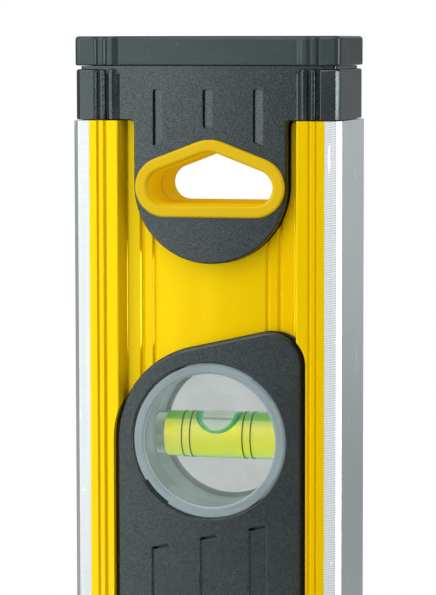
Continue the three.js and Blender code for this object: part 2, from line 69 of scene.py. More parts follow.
def box_mm(node):
    """Lowest and highest corner of a CAD node, in millimetres."""
    low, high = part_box(node)
    return low / MM, high / MM


def centre_mm(node):
    low, high = box_mm(node)
    return (low + high) / 2


LENGTH = (cad_high.z - cad_low.z) / MM
MIDDLE_Z = LENGTH / 2
beam_low, beam_high = box_mm("box_beam")
HALF_WIDTH = beam_high.x
HALF_DEPTH = beam_high.y
BEAM_END = (beam_high.z - beam_low.z) / 2
PLUMB_HEIGHT = centre_mm("upper_plumb_housing_front").z - MIDDLE_Z
LEVEL_X = centre_mm("level_tube").x
COVER_FACE_Y = -box_mm("upper_plumb_cover_front")[0].y
HOUSING_FACE_Y = -box_mm("upper_plumb_housing_front")[0].y
INSERT_FACE_Y = -box_mm("upper_hang_insert_front")[0].y

# ---- shape constants, millimetres

ARC_TOLERANCE = 0.012  # how far a faceted arc may stray from the true one
FINE_TOLERANCE = 0.003  # the same for the beam, whose gloss paint shows every facet
COARSEST_ARC = 0.3  # largest stray as a share of the arc's radius
SAME_POINT = 0.002
MITRE_LIMIT = 0.3
WELD_DISTANCE = 0.001
FLAT_ANGLE = math.radians(0.4)
SHARP_ANGLE = math.radians(45)
SMOOTH_ANGLE = math.radians(38)
NEAR = 0.01  # how close a vertex lies to the face that is picked
THROUGH = 100  # reaches past every face
OVERRUN = 2  # how far a cutter stands off the face it opens
FIT_GAP = 0.3  # between pieces pushed into one another
FACE_GAP = 0.1  # between pieces resting on one another
SEAM_Y = 0.15  # half the gap between front and rear halves
SEAM_CHAMFER = 0.1

WEB_RECESS = 4.8
WEB_Y = HALF_DEPTH - WEB_RECESS
INNER_WEB_Y = 7.2
CAP_FACE_RECESS = 1.75
CAP_FACE_Y = HALF_DEPTH - CAP_FACE_RECESS
SLANT = math.radians(12.7)

PAD_THICKNESS = 6.5
NECK_HEIGHT = 0.7
CAP_HEIGHT = 11.2
END_STACK = PAD_THICKNESS + NECK_HEIGHT + CAP_HEIGHT


# ---- outlines

def outline(corners, tolerance=ARC_TOLERANCE):
    """Points of an outline given as (x, y, radius) corners, each radius being a tangent arc."""
    points = []
    count = len(corners)
    for index, corner in enumerate(corners):
        here = Vector(corner[:2])
        radius = corner[2] if len(corner) > 2 else 0
        if radius == 0:
            points.append(here)
            continue
        to_before = (Vector(corners[index - 1][:2]) - here).normalized()
        to_after = (Vector(corners[(index + 1) % count][:2]) - here).normalized()
        half_angle = math.acos(max(-1, min(1, to_before.dot(to_after)))) / 2
        centre = here + (to_before + to_after).normalized() * radius / math.sin(half_angle)
        start = here + to_before * radius / math.tan(half_angle) - centre
        cross = to_after.x * to_before.y - to_after.y * to_before.x
        sweep = math.copysign(math.pi - 2 * half_angle, cross)
        step = 2 * math.acos(1 - min(tolerance / radius, COARSEST_ARC))
        steps = max(2, math.ceil(abs(sweep) / step))
        for k in range(steps + 1):
            points.append(centre + Matrix.Rotation(sweep * k / steps, 2) @ start)
    return [p for i, p in enumerate(points) if (p - points[i - 1]).length > SAME_POINT]


def rounded_rectangle(half_width, low, high, radius, centre_x=0):
    return outline([
        (centre_x - half_width, low, radius),
        (centre_x + half_width, low, radius),
        (centre_x + half_width, high, radius),
        (centre_x - half_width, high, radius),
    ])


def section(quarter, tolerance=ARC_TOLERANCE):
    """Closed section from one quarter, given as (x, depth below the flange face, radius)."""
    right = [(c[0], c[1] - HALF_DEPTH, c[2] if len(c) > 2 else 0) for c in quarter]
    front = [(-x, y, radius) for x, y, radius in reversed(right)] + right
    return outline(front + [(-x, -y, radius) for x, y, radius in front], tolerance)


# ---- solids

def new_solid(vertices, faces):
    mesh = bpy.data.meshes.new("solid")
    mesh.from_pydata(vertices, [], faces)
    solid = bpy.data.objects.new("solid", mesh)
    bpy.context.scene.collection.objects.link(solid)
    return solid


def offset(points, inset):
    """Outline moved inwards by inset, or outwards when it is negative, with mitred corners."""
    area = sum(a.x * b.y - b.x * a.y for a, b in zip(points, points[1:] + points[:1]))
    side = math.copysign(1, area)
    moved_points = []
    for index, here in enumerate(points):
        before = (here - points[index - 1]).normalized()
        after = (points[(index + 1) % len(points)] - here).normalized()
        normal = Vector((-before.y, before.x)) * side
        mitre = (normal + Vector((-after.y, after.x)) * side).normalized()
        moved_points.append(here + mitre * inset / max(MITRE_LIMIT, mitre.dot(normal)))
    return moved_points


def loft(points, profile, lift, ring=False):
    """Surface through copies of an outline, one per (inset, height) of the profile."""
    count = len(points)
    vertices = [lift(p, height) for inset, height in profile for p in offset(points, inset)]
    faces = []
    for level in range(len(profile) if ring else len(profile) - 1):
        here, above = level * count, (level + 1) % len(profile) * count
        for i in range(count):
            after = (i + 1) % count
            faces.append((here + i, here + after, above + after, above + i))
    if not ring:
        faces.append(tuple(reversed(range(count))))
        faces.append(tuple(range(len(vertices) - count, len(vertices))))
    return outward(new_solid(vertices, faces))


def outward(solid):
    bm = bmesh.new()
    bm.from_mesh(solid.data)
    bmesh.ops.recalc_face_normals(bm, faces=bm.faces)
    bm.to_mesh(solid.data)
    bm.free()
    return solid


def quarter_round(radius, segments=4):
    """(inset, depth) steps of a rounded edge, from the face to the wall."""
    if radius == 0:
        return [(0, 0)]
    turns = [math.pi / 2 * k / segments for k in range(segments + 1)]
    return [(radius * (1 - math.sin(a)), radius * (1 - math.cos(a))) for a in turns]


def in_front_plane(p, y):
    return (p.x, y, p.y)


def slab(points, front_y, back_y, front_round=0, back_round=0):
    """Prism with its outline in X and Z, from front_y to back_y, its rims rounded."""
    front = [(inset, front_y + depth) for inset, depth in quarter_round(front_round)]
    back = [(inset, back_y - depth) for inset, depth in reversed(quarter_round(back_round))]
    return loft(points, front + back, in_front_plane)


def opening(points, face_y, bottom_y, lip_round, foot_round=0):
    """Cutter for a hole or recess whose lip at face_y and foot at bottom_y are rounded."""
    lip = [(-inset, face_y + depth) for inset, depth in quarter_round(lip_round)]
    foot = [(inset, bottom_y - depth) for inset, depth in reversed(quarter_round(foot_round))]
    return loft(points, [(-lip_round, face_y - OVERRUN)] + lip + foot, in_front_plane)


def bar(points, low_z, high_z):
    """Prism with its outline in X and Y, from low_z to high_z."""
    return loft(points, [(0, low_z), (0, high_z)], lambda p, z: (p.x, p.y, z))


def block(low, high):
    points = [Vector((low[0], low[1])), Vector((high[0], low[1])),
              Vector((high[0], high[1])), Vector((low[0], high[1]))]
    return bar(points, low[2], high[2])


def turned(profile, segments=72):
    """Body of revolution about X from (radius, x) points that start and end on the axis."""
    vertices, rings = [], []
    for radius, x in profile:
        if radius == 0:
            rings.append([len(vertices)] * segments)
            vertices.append((x, 0, 0))
            continue
        rings.append(list(range(len(vertices), len(vertices) + segments)))
        for k in range(segments):
            turn = 2 * math.pi * k / segments
            vertices.append((x, radius * math.cos(turn), radius * math.sin(turn)))
    faces = []
    for ring, following in zip(rings, rings[1:]):
        for k in range(segments):
            after = (k + 1) % segments
            face = [ring[k], ring[after], following[after], following[k]]
            faces.append([v for i, v in enumerate(face) if v not in face[:i]])
    return outward(new_solid(vertices, faces))


def combine(solid, tool, operation):
    """Boolean of solid with tool, which is used up."""
    change = solid.modifiers.new("change", "BOOLEAN")
    change.operation = operation
    change.solver = "MANIFOLD"
    change.object = tool
    evaluated = solid.evaluated_get(bpy.context.evaluated_depsgraph_get())
    mesh = bpy.data.meshes.new_from_object(evaluated)
    solid.modifiers.clear()
    old, solid.data = solid.data, mesh
    bpy.data.meshes.remove(old)
    bpy.data.meshes.remove(tool.data)
    return solid


def cut(solid, *tools):
    for tool in tools:
        combine(solid, tool, "DIFFERENCE")
    return solid


def join(solid, *tools):
    for tool in tools:
        combine(solid, tool, "UNION")
    return solid


def keep_common(solid, tool):
    return combine(solid, tool, "INTERSECT")


def moved(solid, matrix):
    solid.data.transform(matrix)
    if matrix.determinant() < 0:
        solid.data.flip_normals()
    return solid


def shifted(solid, x=0, y=0, z=0):
    return moved(solid, Matrix.Translation((x, y, z)))


def unmoved(solid):
    return solid


def to_rear(solid):
    return moved(solid, Matrix.Rotation(math.pi, 4, "Z"))


def to_lower_end(solid):
    return moved(solid, Matrix.Rotation(math.pi, 4, "Y"))


def mirror_to_rear(solid):
    return moved(solid, Matrix.Scale(-1, 4, (0, 1, 0)))


def merge_flat(bm):
    """Joins the coplanar faces that booleans leave behind."""
    bmesh.ops.remove_doubles(bm, verts=bm.verts, dist=WELD_DISTANCE)
    bmesh.ops.dissolve_limit(bm, angle_limit=FLAT_ANGLE, verts=bm.verts, edges=bm.edges)


def round_edges(solid, width, segments, chosen):
    """Rounds the sharp edges whose middle point is chosen."""
    bm = bmesh.new()
    bm.from_mesh(solid.data)
    merge_flat(bm)
    edges = []
    for edge in bm.edges:
        middle = (edge.verts[0].co + edge.verts[1].co) / 2
        closed = len(edge.link_faces) == 2
        if closed and edge.calc_face_angle(0) > SHARP_ANGLE and chosen(middle):
            edges.append(edge)
    bmesh.ops.bevel(
        bm, geom=edges, offset=width, offset_type="OFFSET", segments=segments,
        profile=0.5, affect="EDGES", clamp_overlap=False,
    )
    bm.to_mesh(solid.data)
    bm.free()
    return solid


# ---- node materials

class Shader:
    """A node material being built; values may be numbers, colours or other nodes' outputs."""

    def __init__(self, name):
        self.material = bpy.data.materials.new(name)
        self.material.use_nodes = True
        self.tree = self.material.node_tree
        self.tree.nodes.clear()
        self.output = self.tree.nodes.new("ShaderNodeOutputMaterial")
        self.place = self.node("ShaderNodeTexCoord").outputs["Object"]

    def node(self, kind, settings=None, **inputs):
        made = self.tree.nodes.new(kind)
        for key, value in (settings or {}).items():
            setattr(made, key, value)
        for key, value in inputs.items():
            self.feed(made.inputs[key.replace("_", " ")], value)
        return made

    def feed(self, socket, value):
        if isinstance(value, bpy.types.NodeSocket):
            self.tree.links.new(value, socket)
        elif socket.type == "RGBA" and len(value) == 3:
            socket.default_value = (*value, 1)
        else:
            socket.default_value = value

    def math(self, operation, first, second=0.0, third=0.0):
        made = self.tree.nodes.new("ShaderNodeMath")
        made.operation = operation
        for socket, value in zip(made.inputs, (first, second, third)):
            self.feed(socket, value)
        return made.outputs[0]

    def noise(self, scale, detail=2.0, roughness=0.5, vector=None, distortion=0.0):
        made = self.node("ShaderNodeTexNoise", Vector=vector or self.place, Scale=scale,
                         Detail=detail, Roughness=roughness, Distortion=distortion)
        return made.outputs["Fac"]

    def stretched(self, x=1.0, y=1.0, z=1.0):
        return self.node("ShaderNodeMapping", Vector=self.place, Scale=(x, y, z)).outputs[0]

    def ramp(self, factor, *stops):
        made = self.node("ShaderNodeValToRGB", Fac=factor)
        elements = made.color_ramp.elements
        while len(elements) < len(stops):
            elements.new(0.5)
        for element, (position, colour) in zip(elements, stops):
            element.position = position
            element.color = (*colour, 1)
        return made.outputs["Color"]

    def span(self, value, low, high, to_low=0.0, to_high=1.0):
        made = self.tree.nodes.new("ShaderNodeMapRange")
        for key, number in (("Value", value), ("From Min", low), ("From Max", high),
                            ("To Min", to_low), ("To Max", to_high)):
            self.feed(made.inputs[key], number)
        return made.outputs["Result"]

    def mix(self, factor, first, second):
        made = self.tree.nodes.new("ShaderNodeMix")
        made.data_type = "RGBA"
        self.feed(made.inputs[0], factor)
        self.feed(made.inputs[6], first)
        self.feed(made.inputs[7], second)
        return made.outputs[2]

    def axes(self):
        made = self.node("ShaderNodeSeparateXYZ", Vector=self.place)
        return made.outputs

    def bump(self, height, distance, strength=1.0):
        return self.node("ShaderNodeBump", Height=height, Distance=distance,
                         Strength=strength).outputs[0]

    def surface(self, **inputs):
        return self.node("ShaderNodeBsdfPrincipled", **inputs).outputs[0]

    def blend(self, factor, first, second):
        made = self.tree.nodes.new("ShaderNodeMixShader")
        for socket, value in zip(made.inputs, (factor, first, second)):
            self.feed(socket, value)
        return made.outputs[0]

    def finish(self, shader):
        self.tree.links.new(shader, self.output.inputs["Surface"])
        return self.material


def srgb(red, green, blue):
    """Linear colour from 0-255 display values."""
    def linear(value):
        share = value / 255
        return share / 12.92 if share <= 0.04045 else ((share + 0.055) / 1.055) ** 2.4
    return (linear(red), linear(green), linear(blue))


PAINT_EDGE = 0.0263
PAINT_FADE = 0.00022
SIDE_BLEND = 0.001
METAL_ROUGHNESS = (0.36, 0.46)
FACE_ROUGHNESS = 0.22
CUTTER_MARK = 0.000016
PAINT_RIPPLE = 0.00003


def facing(s, axis):
    """How squarely a surface faces along an axis, from 0 to 1."""
    normal = s.node("ShaderNodeNewGeometry").outputs["Normal"]
    parts = s.node("ShaderNodeSeparateXYZ", Vector=normal).outputs
    return s.math("ABSOLUTE", parts[axis])


def beam_paint(s):
    colour = s.mix(s.noise(scale=14, detail=3), srgb(224, 184, 0), srgb(231, 192, 0))
    peel = s.noise(scale=620, detail=3, roughness=0.55)
    swell = s.noise(scale=1, vector=s.stretched(55, 55, 22))
    dust = s.span(s.noise(scale=2600), 0.70, 0.78)
    ripple = s.math("ADD", s.math("MULTIPLY", swell, 9.0), s.math("MULTIPLY", peel, 0.25))
    return s.surface(
        Base_Color=s.mix(dust, colour, srgb(226, 178, 8)),
        Roughness=s.span(s.noise(scale=45, detail=4), 0.3, 0.7, 0.1, 0.16),
        IOR=2.0,
        Specular_Tint=srgb(255, 230, 50),
        Normal=s.bump(ripple, PAINT_RIPPLE, 0.6),
    )


def beam_metal(s, x, z):
    """Extruded sides with streaks along them; front and rear bands with slanting cutter marks."""
    def by_side(at_left, at_right):
        return s.span(x, -SIDE_BLEND, SIDE_BLEND, at_left, at_right)

    milled = s.math("SUBTRACT", 1.0, s.span(facing(s, 0), 0.5, 0.8))
    lean = by_side(0.9, -0.17)
    pitch = by_side(0.0008, 0.00053)
    wander = s.math("MULTIPLY", s.noise(scale=30, detail=1), 0.0012)
    sweep = s.math("ADD", z, s.math("ADD", s.math("MULTIPLY", x, lean), wander))
    wave = s.math("SINE", s.math("DIVIDE", s.math("MULTIPLY", sweep, 2 * math.pi), pitch))
    lines = s.math("MULTIPLY", wave, by_side(0.45, 1.0))
    fine = s.noise(scale=1, detail=3, roughness=0.6, vector=s.stretched(60, 60, 5200))
    streaks = s.noise(scale=1, detail=4, roughness=0.6, vector=s.stretched(1500, 1500, 14))
    scratches = s.span(s.noise(scale=900, vector=s.stretched(z=0.08)), 0.70, 0.74)
    specks = s.span(s.noise(scale=700, detail=1), 0.76, 0.79)
    groove = s.math("MULTIPLY", s.math("ADD", s.math("MULTIPLY", lines, 0.5), fine), milled)
    # painted light: the left (-X) band is made 0.1 lighter than the right, where the key light
    # falls on it
    line_tone_and_painted_light = s.math("ADD", s.span(lines, -1, 1, -0.15, 0.5), by_side(0.1, 0.0))
    shade = s.math("ADD", s.math("MULTIPLY", line_tone_and_painted_light, milled), s.math("MULTIPLY", streaks, 0.6))
    colour = s.mix(shade, srgb(178, 185, 188), srgb(226, 229, 230))
    roughness = s.span(fine, 0.3, 0.7, *METAL_ROUGHNESS)
    return s.surface(
        Base_Color=s.mix(s.math("MAXIMUM", scratches, specks), colour, srgb(246, 248, 249)),
        Metallic=1.0,
        Roughness=s.math("ADD", roughness, s.math("MULTIPLY", milled, FACE_ROUGHNESS)),
        Normal=s.bump(groove, CUTTER_MARK, 0.5),
    )


def beam_material():
    """Gloss yellow paint on the section, bare milled aluminium on the measuring edges."""
    s = Shader("beam_paint_and_metal")
    x, _, z = s.axes()[:3]
    paint, metal = beam_paint(s), beam_metal(s, x, z)
    ragged = s.math("MULTIPLY", s.noise(scale=160), 0.00016)
    reach = s.math("ADD", s.math("ABSOLUTE", x), ragged)
    bare = s.span(reach, PAINT_EDGE, PAINT_EDGE + PAINT_FADE)
    return s.finish(s.blend(bare, paint, metal))


PLASTIC_SHEEN = (0.8, 0.95, 0.96)
GRAIN_SCALE = 4300
GRAIN_DEPTH = 0.000013
GRAIN_SHEEN = (0.8, 1.4)
MOULD_DEPTH = 0.00002


def grained_plastic(name, low, high, gloss):
    """Dark moulded plastic with a fine spark-eroded grain."""
    s = Shader(name)
    grain = s.noise(scale=GRAIN_SCALE, roughness=0.6)
    rubbed = s.span(s.noise(scale=40, detail=5, roughness=0.6), 0.4, 0.75)
    peaks = s.span(grain, 0.36, 0.64)
    dull, bright = (tuple(share * c for c in PLASTIC_SHEEN) for share in GRAIN_SHEEN)
    return s.finish(s.surface(
        Base_Color=s.mix(peaks, low, high),
        Roughness=s.span(rubbed, 0.0, 1.0, gloss + 0.05, gloss - 0.05),
        IOR=1.55,
        Specular_Tint=s.mix(peaks, dull, bright),
        Normal=s.bump(grain, GRAIN_DEPTH),
    ))


def rubber_material():
    """Smooth grey rubber with faint flow marks and dust."""
    s = Shader("pad_rubber")
    flow = s.noise(scale=1, detail=4, roughness=0.6, vector=s.stretched(60, 60, 500))
    dust = s.span(s.noise(scale=1700, detail=3), 0.62, 0.74)
    colour = s.mix(flow, srgb(30, 38, 39), srgb(43, 52, 53))
    return s.finish(s.surface(
        Base_Color=s.mix(s.math("MULTIPLY", dust, 0.25), colour, srgb(104, 112, 112)),
        Roughness=s.span(s.noise(scale=70, detail=4), 0.3, 0.7, 0.3, 0.4),
        Specular_Tint=PLASTIC_SHEEN,
        Normal=s.bump(s.noise(scale=1400, detail=3), MOULD_DEPTH, 0.5),
    ))


def insert_material():
    """Satin moulded yellow plastic; its side walls give off a little light, painted light that
    lifts their shade.
    """
    s = Shader("insert_plastic")
    # painted light: walls facing neither front nor rear give off light, so the hang hole's inside
    # looks lit
    wall = s.span(facing(s, 1), 0.4, 0.1)
    body = s.surface(
        Base_Color=s.mix(s.noise(scale=55, detail=3), srgb(200, 164, 0), srgb(211, 175, 0)),
        Roughness=0.6,
        Specular_IOR_Level=0.0,
        Emission_Color=srgb(206, 170, 0),
        Emission_Strength=s.math("MULTIPLY", wall, 0.4),
        Normal=s.bump(s.noise(scale=900), MOULD_DEPTH, 0.4),
    )
    polish = s.span(s.noise(scale=240, detail=3), 0.3, 0.7, 0.3, 0.42)
    sheen = s.node("ShaderNodeBsdfGlossy", Color=srgb(255, 236, 150), Roughness=polish)
    return s.finish(s.blend(0.035, body, sheen.outputs[0]))


def clear_material(name, tint, body, cloud, roughness, painted_glow=0.0):
    """Clear or misted acrylic; its side walls give off painted light, as strong as its last
    argument sets.
    """
    s = Shader(name)
    haze = s.span(s.noise(scale=130, detail=4, roughness=0.6), 0.3, 0.7, -0.05, 0.05)
    wall = s.span(facing(s, 1), 0.9, 0.5)
    colour = s.mix(s.noise(scale=70, detail=3), tuple(c * 0.88 for c in body), body)
    through = s.node("ShaderNodeBsdfTransparent", Color=tint).outputs[0]
    face = s.surface(
        Base_Color=colour,
        Roughness=roughness,
        IOR=1.49,
        # painted light: side walls give off light, as if lit through from the far side
        Emission_Color=colour,
        Emission_Strength=s.math("MULTIPLY", wall, painted_glow),
        Normal=s.bump(s.noise(scale=380), 0.00001, 0.3),
    )
    rim = s.node("ShaderNodeLayerWeight", Blend=0.25).outputs["Facing"]
    share = s.math("ADD", s.math("ADD", cloud, haze), s.math("MULTIPLY", rim, 0.35))
    return s.finish(s.blend(share, through, face))


def fluid_material(name, middle, up_axis):
    """Green-yellow liquid with painted light and shade: bands up its height stand in for light
    bent through the tube, green at the top where light grazes along the bore; it also glows.
    """
    s = Shader(name)
    height = s.math("SUBTRACT", s.axes()[up_axis], middle * MM)
    # painted light and shade: tones set by height in the bore, not by the lamps
    colour = s.ramp(
        s.span(height, -FLUID_RADIUS * MM, FLUID_RADIUS * MM),
        (0.0, srgb(150, 190, 24)), (0.06, srgb(206, 236, 50)), (0.2, srgb(228, 228, 38)),
        (0.45, srgb(228, 216, 42)), (0.7, srgb(240, 226, 66)), (0.84, srgb(200, 206, 104)),
        (0.88, srgb(84, 170, 34)), (1.0, srgb(46, 148, 34)),
    )
    drift = s.noise(scale=1, detail=3, vector=s.stretched(130, 130, 130))
    tone = s.mix(s.math("MULTIPLY", drift, 0.35), colour, srgb(188, 206, 44))
    return s.finish(s.surface(
        # painted light: the liquid glows
        Base_Color=tone, Roughness=0.12, IOR=1.4, Emission_Color=tone, Emission_Strength=0.92,
    ))


def bubble_material(name, centre, along_axis, up_axis):
    """Bubble whose tones are painted light: a pale middle, a deep green edge where it bends the
    liquid's light, a grey line across it 1.1 mm under its top, and it glows.
    """
    s = Shader(name)
    along = s.math("SUBTRACT", s.axes()[along_axis], centre[along_axis] * MM)
    top = (centre[up_axis] + BUBBLE_TOP) * MM
    down = s.math("SUBTRACT", s.axes()[up_axis], top)
    reach = s.math("SQRT", s.math(
        "ADD",
        s.math("POWER", s.math("DIVIDE", along, BUBBLE_HALF_LENGTH * MM), 2.0),
        s.math("POWER", s.math("DIVIDE", down, BUBBLE_DROP * MM), 2.0),
    ))
    wobble = s.math("MULTIPLY", s.math("SUBTRACT", s.noise(scale=420), 0.5), 0.14)
    # painted light: pale middle and green rim of a colourless gas bubble
    edge = s.ramp(
        s.math("ADD", reach, wobble),
        (0.0, srgb(200, 205, 196)), (0.66, srgb(212, 217, 206)), (0.72, srgb(92, 190, 84)),
        (0.80, srgb(70, 184, 78)), (0.87, srgb(14, 138, 96)), (1.0, srgb(16, 128, 84)),
    )
    streak = s.math("ABSOLUTE", s.math("ADD", down, 0.0011))
    line = s.math("MULTIPLY", s.span(streak, 0.00035, 0.0001), s.span(reach, 0.72, 0.6))
    tone = s.mix(s.math("MULTIPLY", line, 0.6), edge, srgb(120, 128, 122))
    return s.finish(s.surface(
        # painted light: the bubble glows
        Base_Color=tone, Roughness=0.1, IOR=1.3, Emission_Color=tone, Emission_Strength=0.6,
    ))


def ink_material():
    """Black printed gradation lines."""
    s = Shader("gradation_ink")
    tone = s.mix(s.noise(scale=900), srgb(20, 26, 18), srgb(34, 40, 30))
    return s.finish(s.surface(Base_Color=tone, Roughness=0.4))


# ---- pieces

STRAIGHT = 0.99999


def is_level(normal):
    """Whether a face looks straight along an axis."""
    return max(abs(component) for component in normal) > STRAIGHT


def crease(mesh):
    """Shades curved parts smooth and keeps flat parts flat up to their rims."""
    mesh.shade_smooth()
    bm = bmesh.new()
    bm.from_mesh(mesh)
    bm.normal_update()
    for edge in bm.edges:
        if len(edge.link_faces) != 2:
            continue
        first, second = (is_level(face.normal) for face in edge.link_faces)
        edge.smooth = first == second and edge.calc_face_angle(0) < SMOOTH_ANGLE
    bm.to_mesh(mesh)
    bm.free()


def finish_piece(solid, name, material, body, *nodes, slot=None, flat=False):
    """Turns a solid in millimetres about the level's middle into a finished, riding piece."""
    solid.name = name
    solid.data.name = name
    solid.data.transform(Matrix.Scale(MM, 4) @ Matrix.Translation((0, 0, MIDDLE_Z)))
    solid.data.materials.clear()
    solid.data.materials.append(material)
    if flat:
        solid.data.shade_flat()
    else:
        crease(solid.data)
    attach(solid, body)
    if nodes:
        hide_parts(*nodes)
    return solid


BEAM_CHAMFER = 1.15
FLANGE_WALL = 2.4
CHAMBER_STEP_X = 23.2
CHAMBER_END_X = 27.6

# Quarter profiles, outwards: (x, depth below the beam's flange face, corner radius).
BEAM_QUARTER = [
    (12.2, WEB_RECESS, 0.15),
    (12.75, WEB_RECESS + 0.5, 0.12),
    (13.3, WEB_RECESS, 0.15),
    (14.93, WEB_RECESS, 0.15),
    (15.55, WEB_RECESS + 0.6, 0.12),
    (16.17, WEB_RECESS, 0.15),
    (19.0, WEB_RECESS, 0.4),
    (20, 0.5, 0.3),
    (22.5, 0.5, 0.12),
    (22.8, 0.95, 0.08),
    (23.2, 0.2, 0.15),
    (24.12, 0.2, 0.08),
    (24.4, 0.6, 0.05),
    (24.68, 0, 0.08),
    (HALF_WIDTH - BEAM_CHAMFER, 0, 0.3),
    (HALF_WIDTH, BEAM_CHAMFER, 0.3),
]
CHAMBER_QUARTER = [
    (CHAMBER_STEP_X, HALF_DEPTH - INNER_WEB_Y, 0.6),
    (CHAMBER_STEP_X, FLANGE_WALL, 0.6),
    (CHAMBER_END_X, FLANGE_WALL, 1),
]
CAP_QUARTER = [
    (20.0, CAP_FACE_RECESS, 0.7),
    (21.15, 0.85, 0.7),
    (22.1, 0.95, 0.4),
    (22.6, 1.9, 0.18),
    (23.1, 0.62, 0.35),
    (23.95, 0.62, 0.3),
    (24.35, 1.45, 0.15),
    (25.25, 0.5, 0.35),
    (28.5, 0.5, 0.25),
    (29.5, 1.5, 0.25),
]
PAD_QUARTER = [
    (20.1, 1.2, 0.6),
    (21.1, 0.6, 0.6),
    (22.25, 0.6, 0.4),
    (22.7, 1.0, 0.15),
    (23.15, 0.45, 0.4),
    (24.3, 0.45, 0.4),
    (24.7, 0.9, 0.12),
    (25.1, 0.3, 0.3),
    (29.7, 0.3, 1.3),
]

TONGUE_HALF_WIDTH = 17.12
TONGUE_X = 0.48
TONGUE_FILLET = 1.1
TONGUE_BOTTOM = -31.3
TONGUE_ROUND_SLACK = 0.01
TONGUE_ROOT_HEIGHT = 3
TONGUE_ROOT_REACH = 2.2
TONGUE_RIM_ROUND = 0.4
MOUTH_RADIUS = 1.4
MOUTH_REACH = 5
NOTCH_GAP = 0.12
NOTCH_SIDE_GAP = 0.4
WINDOW_SLOT_X = 25
WINDOW_SLOT_HALF_DEPTH = 5.5
WINDOW_SLOT_HALF_LENGTH = 17

COVER_HALF_WIDTH = 20.8
COVER_CORNER = 7
COVER_FIRST_CORNER = COVER_HALF_WIDTH - 0.01
COVER_RIM_ROUND = 0.5
COVER_WINDOW_ROUND = 0.22
POCKET_GAP = 0.4
POCKET_WIDENING = 0.85
FLANGE_GAP = 0.15
FLANGE_THICKNESS = 0.6
COLLAR_WALL = 0.7
COLLAR_OVERLAP = 0.5
WINDOW_ROUND_SLACK = 0.002
RECESS_PITCH = 10.95
RECESS_HALF_WIDTH = 1.95
RECESS_DEPTH = 0.75
RECESS_CORNER = 0.5
RECESS_MARGIN = 6
RECESS_LIP_ROUND = 0.2
RECESS_FOOT_ROUND = 0.1
# the slit is a painted shadow cut as geometry: a dark line under a recess's top lip, where the
# real cover has only shade
SLIT_HEIGHT = 0.55
SLIT_DEPTH = 1.6
SLIT_TOP_INSET = 0.05
SLIT_LEFT_INSET = 0.1
SLIT_RIGHT_INSET = 0.2

HOUSING_WALL = 1.3
HOUSING_RIM_ROUND = 0.3
LIP_WIDTH = 2.2
LIP_DEPTH = 1.1
LIP_THICKNESS = 1
LIP_ROUND = 0.5
RIM_NOTCH_SWEEP = 12
RIM_NOTCH_STEPS = 4
RIM_NOTCH_IN = 0.8
RIM_NOTCH_OUT = 1
RIM_NOTCH_DEPTH = 2.6
PANE_THICKNESS = 1
PANE_GAP = 0.02
PANE_ROUND = 0.05

PLUMB = {
    "window": (17.3, 17.3), "window_x": 0, "cover_top": COVER_HALF_WIDTH / math.cos(SLANT),
    "cover_bottom": -51.7, "first_corner": COVER_FIRST_CORNER, "recess_top": -21.2,
    "recess_columns": (-1, 0, 1), "notch_angles": (44.5, 224.5),
}
LEVEL = {
    "window": (10.3, 24), "window_x": LEVEL_X, "cover_top": 34, "cover_bottom": -34,
    "first_corner": COVER_CORNER, "recess_top": 25, "recess_columns": (-1,), "notch_angles": (),
}

BORE_RADIUS = 4.6
TUBE_RADIUS = 5.25
TUBE_TAPER = 0.1
FLUID_RADIUS = 5.06
BUBBLE_HALF_LENGTH = 5.4
BUBBLE_TOP = 5.0
BUBBLE_DROP = 5.1
BUBBLE_HALF_DEPTH = 9
BUBBLE_SKIN = 0.03
BUBBLE_WELD = 0.0005
PLUG_THICKNESS = 2.4
PLUG_RADIUS = 4.5
PLUG_NIB_RADIUS = 0.85
PLUG_NIB_LENGTH = 1
CLOSED_END = 0.8
END_ROUND = 0.15
FLUID_END_GAP = 0.05
TUBE_SEGMENTS = 96


def slanted(x, height):
    return height + x * math.tan(SLANT)


def slanted_plate(left, right, bottom, top, radii):
    """Upright sides, slanted top and bottom; radii go clockwise from the top left."""
    return outline([
        (left, slanted(left, top), radii[0]), (left, slanted(left, bottom), radii[3]),
        (right, slanted(right, bottom), radii[2]), (right, slanted(right, top), radii[1]),
    ])


def unit_window(unit, inset):
    half_width, half_length = (size - inset for size in unit["window"])
    radius = half_width - WINDOW_ROUND_SLACK
    return rounded_rectangle(half_width, -half_length, half_length, radius, unit["window_x"])


def cover_outline(unit):
    radii = [unit["first_corner"], COVER_CORNER, COVER_CORNER, COVER_CORNER]
    return slanted_plate(-COVER_HALF_WIDTH, COVER_HALF_WIDTH, unit["cover_bottom"],
                         unit["cover_top"], radii)


def pocket_plates(unit, gap, front_y, back_y):
    """Two plates that together leave gap round a cover and POCKET_WIDENING more on its right."""
    points = offset(cover_outline(unit), -gap)
    return slab(points, front_y, back_y), shifted(slab(points, front_y, back_y), x=POCKET_WIDENING)


def beam_cut(unit):
    """The pocket for a cover and the window through the web behind it, at the front."""
    hole = unit_window(unit, -COLLAR_WALL - FIT_GAP)
    return *pocket_plates(unit, POCKET_GAP, -THROUGH, -WEB_Y), slab(hole, -THROUGH, 1)


def tongue_notch():
    """The round-bottomed notch in the beam's end, its mouth rounded over."""
    side = TONGUE_HALF_WIDTH + NOTCH_SIDE_GAP
    radius = side - TONGUE_ROUND_SLACK
    wide = side + MOUTH_REACH
    left = [
        (-wide, MOUTH_REACH), (-wide, 0), (-side, 0, MOUTH_RADIUS),
        (-side, TONGUE_BOTTOM - NOTCH_GAP, radius),
    ]
    return slab(outline(left + mirrored(left)), -THROUGH, THROUGH)


def mirrored(corners):
    """Outline corners of the right half from those of the left half."""
    return [(-corner[0], *corner[1:]) for corner in reversed(corners)]


